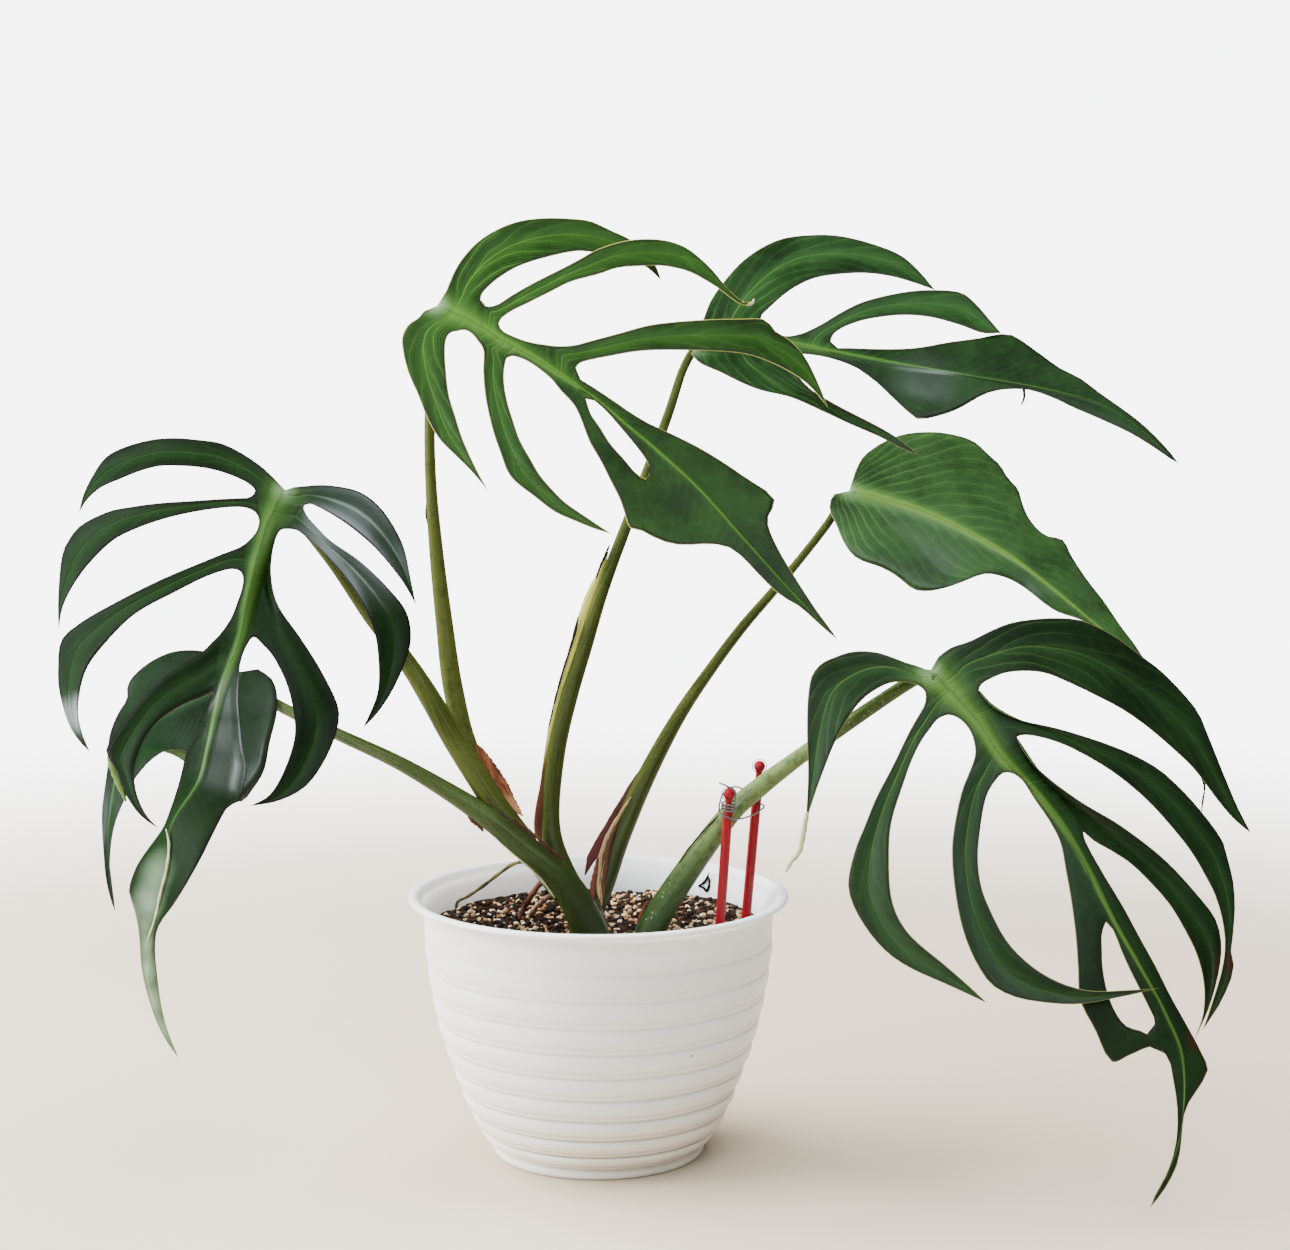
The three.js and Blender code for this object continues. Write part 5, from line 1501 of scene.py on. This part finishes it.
# Scraps and threads
# Thin dry strands: withered threads and rolled edges at the leaves' tips, fibres and papery edges
# that peel off the stalks, a black shred on the pot's inner wall and a speck on its outside.
#
# Each has its finish, its slot and its path.
SCRAP_COLORS = {
    "scrap_pale": ((150, 152, 100), (212, 208, 176)),
    "scrap_tan": ((112, 84, 54), (188, 156, 114)),
    "scrap_rust": ((58, 26, 18), (116, 64, 44)),
    "scrap_brown": ((42, 24, 16), (92, 60, 40)),
    "scrap_leaf": ((58, 84, 34), (104, 126, 62)),
    "scrap_dark": ((22, 14, 12), (58, 36, 26)),
    "scrap_black": ((6, 6, 7), (20, 18, 20)),
}
SCRAPS = {
    "leaf_1_hook": (
        "scrap_pale", "blade_bright",
        "741,302,23,2.4 748,304.5,25,3 752.5,303,26.5,2.6 754,299,27.5,1.4",
    ),
    "leaf_2_hook": (
        "scrap_dark", "blade_dark",
        "1022,386,58,2.4 1024,391,56.5,2.8 1024,398,55.5,2.4 1021.5,405,55,1.2",
    ),
    "leaf_3_hair": (
        "scrap_dark", "blade_dark",
        "1204.5,792,54.8,1.6 1203,799,53,2.2 1201.5,812,51,1",
    ),
    "leaf_4_thread": (
        "scrap_pale", "blade_dark",
        "807.5,812,-34.5,4 805,823,-34.8,5.5 803,835,-35,6 799,852,-34.8,5 791,862,-33.5,4.5 "
        "786,872,-33,2",
    ),
    "leaf_5_fold": (
        "scrap_pale", "blade_dark",
        "166,829,-63.2,1.2 169,845,-65.3,2.4 166,872,-68.4,2.8 161,891,-70.4,2.8 155,919,-73.2,2.4 "
        "147,942,-75.3,1.2",
    ),
    "leaf_6_roll": (
        "scrap_leaf", "blade_dark",
        "108,752,25,2 110,762,22,4.5 115,776,19,5.5 120,788,16,5 126,801,13,2.5",
    ),
    "sheath_2_thread": (
        "scrap_black", "sheath_brown",
        "609.5,545,51,1.6 605,556,48.5,2.6 600,567,46.5,2.2 596,579,45,1",
    ),
    "sheath_2_edge": (
        "scrap_dark", "sheath_brown",
        "578,617,36.5,1.4 575,631,34,3 570,648,31.5,2 562,674,26,2.2 555,700,22,2 549,726,17,1.2",
    ),
    "petiole_1_bract": (
        "scrap_dark", "sheath_brown",
        "427,500,21.5,1 426.5,508,20.8,2.4 426.5,516,20.2,2.4 427.5,524,19.6,1",
    ),
    "petiole_3_fibre": (
        "scrap_tan", "sheath_brown",
        "631,797,13.5,1.6 620,814.5,10,3.4 610.5,831,7,4.6 603.5,848,4.8,5.2 600,864,2,5 "
        "598.5,881,-2.8,4.6 599.5,900,-8.6,4",
    ),
    "petiole_3_strip": (
        "scrap_brown", "sheath_brown",
        "620,817,9.5,2 611.5,838,5.8,4.6 608,850,3,5.4 605.5,869,-0.9,5.4 603,888,-5.3,4.8 "
        "602,905,-9.5,4",
    ),
    "petiole_3_bark": (
        "scrap_tan", "sheath_brown",
        "607,854,2.6,1.6 604,866,-0.2,2.8 602,884,-4.2,3 601,906,-10.6,2.6",
    ),
    "petiole_3_fray": (
        "scrap_rust", "sheath_brown",
        "598,856,3.4,2 595,874,-2,5 592.5,888,-6.5,5.6 593,904,-10,4.4",
    ),
    "petiole_4_fibre": (
        "scrap_dark", "sheath_brown",
        "722,812,-1.6,1 711.5,822.5,-4.2,1.6 696,839.5,-6.8,1.6 684.5,854,-9,1.6 679,863,-11,1",
    ),
    "petiole_4_paper": (
        "scrap_rust", "sheath_brown",
        "649,900,-15,1.4 644,908,-16,3.4 640,917,-17.5,3.6 637,930,-18.5,2",
    ),
    "petiole_5_edge": (
        "scrap_brown", "sheath_rust",
        "514,818,-24,1.6 524,826.5,-25.5,2.6 534,834.5,-26.5,3 545,844,-27,2.8 555,852,-26.5,2.4 "
        "562,857.5,-26,2.2 566,856.5,-26,1.2",
    ),
    "petiole_6_edge": (
        "scrap_dark", "sheath_rust",
        "486,797,-23.5,1.2 497,810,-26.5,2 515,824,-28.5,2.4 533,838.5,-29.5,2.4 549,851,-30,2.2 "
        "562,861,-30,1.4",
    ),
    "petiole_6_paper": (
        "scrap_pale", "sheath_pale",
        "494,836,-24,1.6 507,848,-25.5,2.4 522,861,-27,2.6 533,871,-27.5,3 545,884,-27,2.6 "
        "555,898,-26,1.8",
    ),
    "petiole_6_scrap": (
        "scrap_rust", "sheath_rust",
        "467,813,-22,2.4 472,821,-23,3.4 479,826.5,-23.5,3 483,831,-23.5,2.2 481,824,-23.5,1",
    ),
    "wall_shred": (
        "scrap_black", "soil_mix",
        "709,873,60.4,1.2 706,880,61.4,2.8 702,884,62.8,2.4 698.5,886,64,1.6 703,887.5,62.2,2.4 "
        "707,891,60.7,3 709.5,883,60.2,2.6 708,875,60.6,1.2",
    ),
    "pot_speck": (
        "scrap_black", "soil_mix",
        "689.8,1056,-63,1.4 691,1055.8,-62.9,2 692.3,1055.4,-62.7,1.4",
    ),
}
SCRAP_STEPS = 40
SCRAP_SIDES = 10


def scrap_finish(name, first, second):
    finish = Finish(name, Specular_IOR_Level=0.25)
    around, length = finish.run("run")
    fibre = finish.fibres(around * 2.5, length * 0.12)
    color = finish.mix(fibre.ramp(0.35, 0.65), paint(*first), paint(*second))
    return finish.done(Base_Color=color, Roughness=fibre * 0.2 + 0.6, height=fibre, depth=0.0003)


def scrap_shape(turn, way):
    return 1 + 0.15 * math.sin(2 * turn + way * 40)


def scraps():
    finishes = {name: scrap_finish(name, *colors) for name, colors in SCRAP_COLORS.items()}
    for name, (look, slot, path) in SCRAPS.items():
        bm = bmesh.new()
        tube(bm, path_points(path, SCRAP_STEPS), SCRAP_SIDES, scrap_shape)
        piece = finished(name, bm, [finishes[look]])


scraps()

# Floor, light and camera
# A plain pale floor that fades into a white room, a bright window's worth of soft light from the
# left and behind, a soft fill and three small gleams from the front, and the camera where the
# photograph was taken.
#
# A lamp has its place and size in metres, power, colour and whether its reflection is seen.
PHOTO_WIDTH = 1290
SENSOR_WIDTH = 36
ROOM_LIGHT = 0.18
WHITE_WALL = 7.0
LAMP_AIM = (0, 0, 0.2)
LAMPS = {
    "window": ((-2.0, 0.5, 1.1), 3.0, 450, (0.96, 0.98, 1), False),
    "sky": ((0.1, 0.1, 2.3), 2.0, 118, (0.98, 0.99, 1), False),
    "fill": ((-0.7, -1.8, 1.2), 1.2, 4, (1, 0.97, 0.92), False),
    "gleam": ((0.45, -1.3, 1.4), 0.9, 14, (0.82, 0.95, 1), True),
    "glint": ((-0.40, -1.18, 1.1), 0.5, 6, (0.85, 0.96, 1), True),
    "side_gleam": ((-1.9, -0.75, 0.78), 0.8, 24, (0.88, 0.96, 1), True),
}


def floor():
    bm = bmesh.new()
    bmesh.ops.create_grid(bm, x_segments=2, y_segments=2, size=2)
    finish = Finish("floor_pale")
    tone = finish.cloud(3.0)
    far = finish.node("VectorMath", {"operation": "LENGTH"}, {0: finish.place()}, 1)
    color = finish.mix(tone, paint(194, 178, 154), paint(203, 188, 166))
    material = finish.done(Base_Color=color, Roughness=0.6, Alpha=far.ramp(1.5, 0.5))
    mesh = bpy.data.meshes.new("floor")
    bm.to_mesh(mesh)
    bm.free()
    mesh.materials.append(material)
    piece = bpy.data.objects.new("floor", mesh)
    bpy.context.scene.collection.objects.link(piece)


def lamp(name, place, size, power, color, gloss):
    """A soft square light turned to the plant. The lamp itself is never seen."""
    light = bpy.data.lights.new(name, "AREA")
    light.shape = "SQUARE"
    light.size = size
    light.energy = power
    light.color = color
    lamp_object = bpy.data.objects.new(name, light)
    lamp_object.location = place
    aim = Vector(LAMP_AIM) - Vector(place)
    lamp_object.rotation_euler = aim.to_track_quat("-Z", "Y").to_euler()
    lamp_object.visible_camera = False
    lamp_object.visible_glossy = gloss
    bpy.context.scene.collection.objects.link(lamp_object)


def world():
    """A dim room for the light, and a white one to look at."""
    sky = bpy.data.worlds.new("pale_room")
    sky.use_nodes = True
    tree = sky.node_tree
    room = tree.nodes["Background"]
    room.inputs[0].default_value = (0.9, 0.95, 1, 1)
    room.inputs[1].default_value = ROOM_LIGHT
    white = tree.nodes.new("ShaderNodeBackground")
    white.inputs[0].default_value = (0.97, 0.98, 1, 1)
    white.inputs[1].default_value = WHITE_WALL
    path = tree.nodes.new("ShaderNodeLightPath")
    either = tree.nodes.new("ShaderNodeMixShader")
    tree.links.new(path.outputs["Is Camera Ray"], either.inputs[0])
    tree.links.new(room.outputs[0], either.inputs[1])
    tree.links.new(white.outputs[0], either.inputs[2])
    tree.links.new(either.outputs[0], tree.nodes["World Output"].inputs[0])
    bpy.context.scene.world = sky


def camera():
    lens = bpy.data.cameras.new("photo_camera")
    lens.sensor_width = SENSOR_WIDTH
    lens.lens = VIEW_FOCAL * SENSOR_WIDTH / PHOTO_WIDTH
    lens.clip_start = 0.05
    lens.clip_end = 30
    viewer = bpy.data.objects.new("photo_camera", lens)
    viewer.location = VIEW_FROM * MM
    viewer.rotation_euler = (math.pi / 2 - VIEW_PITCH, 0, 0)
    bpy.context.scene.collection.objects.link(viewer)
    bpy.context.scene.camera = viewer


floor()
world()
for name, look in LAMPS.items():
    lamp(name, *look)
camera()

bpy.context.view_layer.update()
